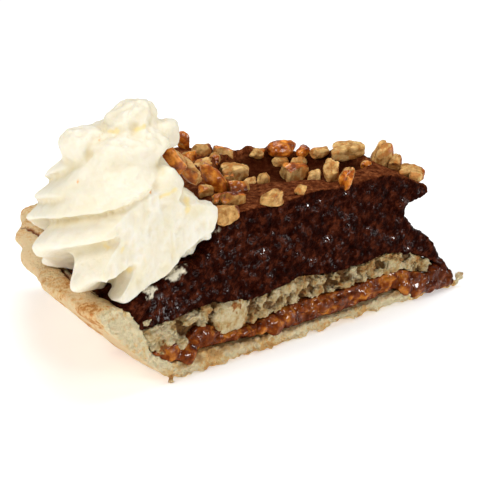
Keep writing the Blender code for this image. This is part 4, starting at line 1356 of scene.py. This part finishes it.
def combine(tree, operation, *shares):
    """Shares joined by a sum, a product or the like, from the first to the last."""
    result = shares[0]
    for share in shares[1:]:
        result = add(tree, "Math", {0: result, 1: share}, operation=operation).outputs[0]
    return result


def bump(tree, shader, *layers):
    """Bumps on the shader's normal, as (height share, depth in mm)."""
    normal = None
    for share, depth in layers:
        inputs = {"Height": share, "Distance": depth * MM, "Strength": 1.0}
        if normal is not None:
            inputs["Normal"] = normal
        normal = add(tree, "Bump", inputs).outputs["Normal"]
    feed(tree, shader, Normal=normal)


def feed(tree, shader, **inputs):
    for name, value in inputs.items():
        tree.links.new(value, shader.inputs[name.replace("_", " ")])


# --- the finishes ------------------------------------------------------------
def crust_finish():
    made, tree, shader = start_material("baked_pastry", Roughness=0.72, Subsurface_Weight=0.1,
                                        Subsurface_Scale=0.0015, Specular_IOR_Level=0.2)
    fine = spread(tree, speckle(tree, 1.3, 5, 0.7), 0.35, 0.65, -0.62, 0.48)
    brown = combine(tree, "ADD", painted(tree, "brown"), fine)
    pale = blend(tree, painted(tree, "cut"), ramp(tree, brown, PASTRY_OUTSIDE),
                 ramp(tree, brown, PASTRY_SECTION))
    # darker below the filling: moist pastry and painted shade
    moist = blend(tree, painted(tree, "moist"), pale, PASTRY_MOIST_AND_SHADE)
    # the rim's cracks darkened with painted shade
    feed(tree, shader, Base_Color=blend(tree, painted(tree, "crack"), moist, PASTRY_CRACK_SHADE))
    bump(tree, shader, (speckle(tree, 1.2, 5, 0.7), 1.5), (speckle(tree, 0.5, 2), 0.4))
    return made


def filling_finish():
    """Sticky amber that glints where it faces up, and is darker at the tip."""
    made, tree, shader = start_material(
        "sticky_filling", Roughness=0.2, Subsurface_Weight=0.2, Subsurface_Scale=0.0015,
        Subsurface_Radius=(1.0, 0.3, 0.06), Specular_IOR_Level=0.2,
        Specular_Tint=rgb(1, 0.45, 0.16), Coat_Roughness=0.05, Coat_IOR=1.8)
    depth = combine(tree, "ADD", speckle(tree, 3.2, 3), painted(tree, "tip", 0.0, -0.14))
    wet = spread(tree, speckle(tree, 1.0, 3, offset=3.0), 0.51, 0.57)
    feed(tree, shader, Base_Color=ramp(tree, depth, FILLING_AMBER),
         Coat_Weight=combine(tree, "MULTIPLY", wet, painted(tree, "ledge")))
    bump(tree, shader, (speckle(tree, 2.4, 2, stretch=(1, 1, 1.6)), 0.8), (speckle(tree, 0.8, 2), 0.1))
    return made


def nut_layer_finish():
    made, tree, shader = start_material("pale_crumble", Roughness=0.6, Subsurface_Weight=0.12,
                                        Subsurface_Scale=0.001, Specular_IOR_Level=0.2)
    fine = speckle(tree, 1.0, 5, 0.65)
    toast = combine(tree, "ADD", painted(tree, "toast"), spread(tree, fine, 0.3, 0.7, -0.3, 0.3))
    # the gaps between the crumbs are painted dark as shade
    feed(tree, shader, Base_Color=blend(tree, painted(tree, "gap"), ramp(tree, toast, CRUMB_TOAST),
                                        ramp(tree, fine, CRUMB_GAP_SHADE)))
    bump(tree, shader, (speckle(tree, 1.1, 5, 0.65), 0.8), (speckle(tree, 0.5, 2), 0.35))
    return made


def mousse_finish():
    """Dark and wet in drops on the cuts, brown and matt on top, with painted shade in the hollow."""
    made, tree, shader = start_material("dark_mousse", Specular_IOR_Level=0.015, Coat_Roughness=0.07,
                                        Coat_IOR=2.0, Specular_Tint=rgb(1, 0.38, 0.2))
    inside = ramp(tree, speckle(tree, 2.2, 6, 0.68), MOUSSE_INSIDE)
    top = ramp(tree, speckle(tree, 1.4, 5, 0.65), MOUSSE_OUTSIDE)
    # painted shade in the hollow
    outside = blend(tree, painted(tree, "deep", 0.0, 0.85), top, MOUSSE_HOLLOW_SHADE)
    brown = blend(tree, painted(tree, "upward"), inside, outside)
    patches = spread(tree, speckle(tree, 6.0, 3, offset=2.0), 0.36, 0.52)
    drops = spread(tree, speckle(tree, 0.45, 3, 0.6, offset=5.0), 0.47, 0.53)
    glossy = combine(tree, "MULTIPLY", drops, patches, painted(tree, "ledge"))
    sparkle = spread(tree, speckle(tree, 1.2, 3, 0.6, (1, 1, 1.6), offset=9.0), 0.54, 0.60)
    patch = combine(tree, "MULTIPLY", sparkle, painted(tree, "wet"))
    wet = combine(tree, "MAXIMUM", glossy, patch)
    feed(tree, shader, Base_Color=blend(tree, painted(tree, "smear"), brown, CREAM_SMEAR),
         Roughness=painted(tree, "upward", 0.35, 0.6),
         Coat_Weight=combine(tree, "MULTIPLY", wet, painted(tree, "upward", 1.0, 0.0)))
    bump(tree, shader, (speckle(tree, 2.2, 5, 0.6), 1.5), (speckle(tree, 0.6, 3, 0.6), 0.55))
    return made


def cream_finish():
    made, tree, shader = start_material(
        "whipped_cream", Roughness=0.42, Subsurface_Weight=0.32, Subsurface_Scale=0.0035,
        Subsurface_Radius=(1.0, 0.75, 0.38), Specular_IOR_Level=0.35)
    face = blend(tree, painted(tree, "cut"), ramp(tree, speckle(tree, 9.0, 3), CREAM_OPEN),
                 ramp(tree, speckle(tree, 6.0, 3, offset=7.0), CREAM_SECTION))
    # painted shade in the creases
    creased = blend(tree, painted(tree, "crease"), face, CREAM_CREASE_SHADE)
    # yellow streaks of painted shade
    streaked = blend(tree, painted(tree, "groove_shade", 0.0, 0.7), creased, CREAM_GROOVE_SHADE)
    feed(tree, shader, Base_Color=blend(tree, painted(tree, "speck"), streaked, CREAM_SPECK))
    bump(tree, shader, (speckle(tree, 2.0, 3), 0.3), (speckle(tree, 0.7, 2), 0.08))
    return made


def pecan_finish():
    """Pale flesh, browned in places, with painted shade in the creases and a glossy brown skin."""
    made, tree, shader = start_material(
        "pecan_pieces", Roughness=0.42, Coat_Roughness=0.15, Subsurface_Weight=0.15,
        Subsurface_Scale=0.001, Specular_IOR_Level=0.15, Specular_Tint=rgb(1, 0.7, 0.42))
    fine = speckle(tree, 2.0, 5, 0.6)
    bare = blend(tree, painted(tree, "tone"), ramp(tree, fine, PECAN_DARK_FLESH),
                 ramp(tree, fine, PECAN_PALE_FLESH))
    rind = spread(tree, speckle(tree, 3.0, 3, offset=8.0), 0.52, 0.60, 0.0, 0.8)
    flesh = blend(tree, rind, bare, PECAN_RIND)
    skin = ramp(tree, speckle(tree, 2.6, 3, offset=4.0), PECAN_SKIN)
    colour = blend(tree, painted(tree, "skin"), flesh, skin)
    # painted shade in the creases
    crease = spread(tree, painted(tree, "crease"), 0.3, 0.9, 0.0, 0.9)
    feed(tree, shader, Base_Color=blend(tree, crease, colour, PECAN_CREASE_SHADE),
         Coat_Weight=painted(tree, "skin", 0.0, 0.8))
    bump(tree, shader, (speckle(tree, 1.6, 3, 0.5), 0.4), (speckle(tree, 0.6, 2), 0.08))
    return made


# --- floor, light and camera -------------------------------------------------
def make_floor():
    deselect()
    bpy.ops.mesh.primitive_plane_add(size=FLOOR_SIZE)
    floor = bpy.context.object
    floor.name = "floor"
    made, _, _ = start_material("pale_floor", Base_Color=rgb(0.93, 0.93, 0.92), Roughness=0.85,
                                Emission_Color=rgb(1, 1, 1), Emission_Strength=0.3)
    floor.data.materials.append(made)


def look_from(spot, target):
    """The turn of a lamp or a camera that looks from a spot at a target."""
    return (Vector(target) - Vector(spot)).to_track_quat("-Z", "Y").to_euler()


def add_softbox(name, spot, size, power):
    """A square soft light that looks at the slice."""
    deselect()
    bpy.ops.object.light_add(type="AREA", location=spot)
    light = bpy.context.object
    light.name = name
    light.data.size = size
    light.data.energy = power
    light.rotation_euler = look_from(spot, LIT_SPOT)


def make_studio():
    world = bpy.data.worlds.new("studio")
    world.use_nodes = True
    background = world.node_tree.nodes["Background"]
    background.inputs["Color"].default_value = rgb(1, 1, 1)
    background.inputs["Strength"].default_value = WORLD_STRENGTH
    bpy.context.scene.world = world
    for softbox in SOFTBOXES:
        add_softbox(*softbox)
    bpy.context.scene.view_settings.view_transform = "Standard"


def make_camera():
    deselect()
    bpy.ops.object.camera_add(location=CAMERA_PLACE)
    camera = bpy.context.object
    camera.rotation_euler = look_from(CAMERA_PLACE, CAMERA_TARGET)
    camera.data.lens = CAMERA_LENS
    camera.data.sensor_width = SENSOR
    bpy.context.scene.camera = camera


def dress(piece, finish, node):
    """Give a piece its finish, and let it stand for a node of the part."""
    piece.data.materials.clear()
    piece.data.materials.append(finish)
    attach(piece, "root")
    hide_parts(node)


make_camera()
make_floor()
make_studio()
dress(make_crust(), crust_finish(), "crust")
dress(make_filling(), filling_finish(), "filling")
dress(make_nut_layer(), nut_layer_finish(), "nut_layer")
dress(make_mousse(), mousse_finish(), "mousse")
dress(make_cream(), cream_finish(), "whipped_cream")
dress(make_nuts(), pecan_finish(), "mousse")
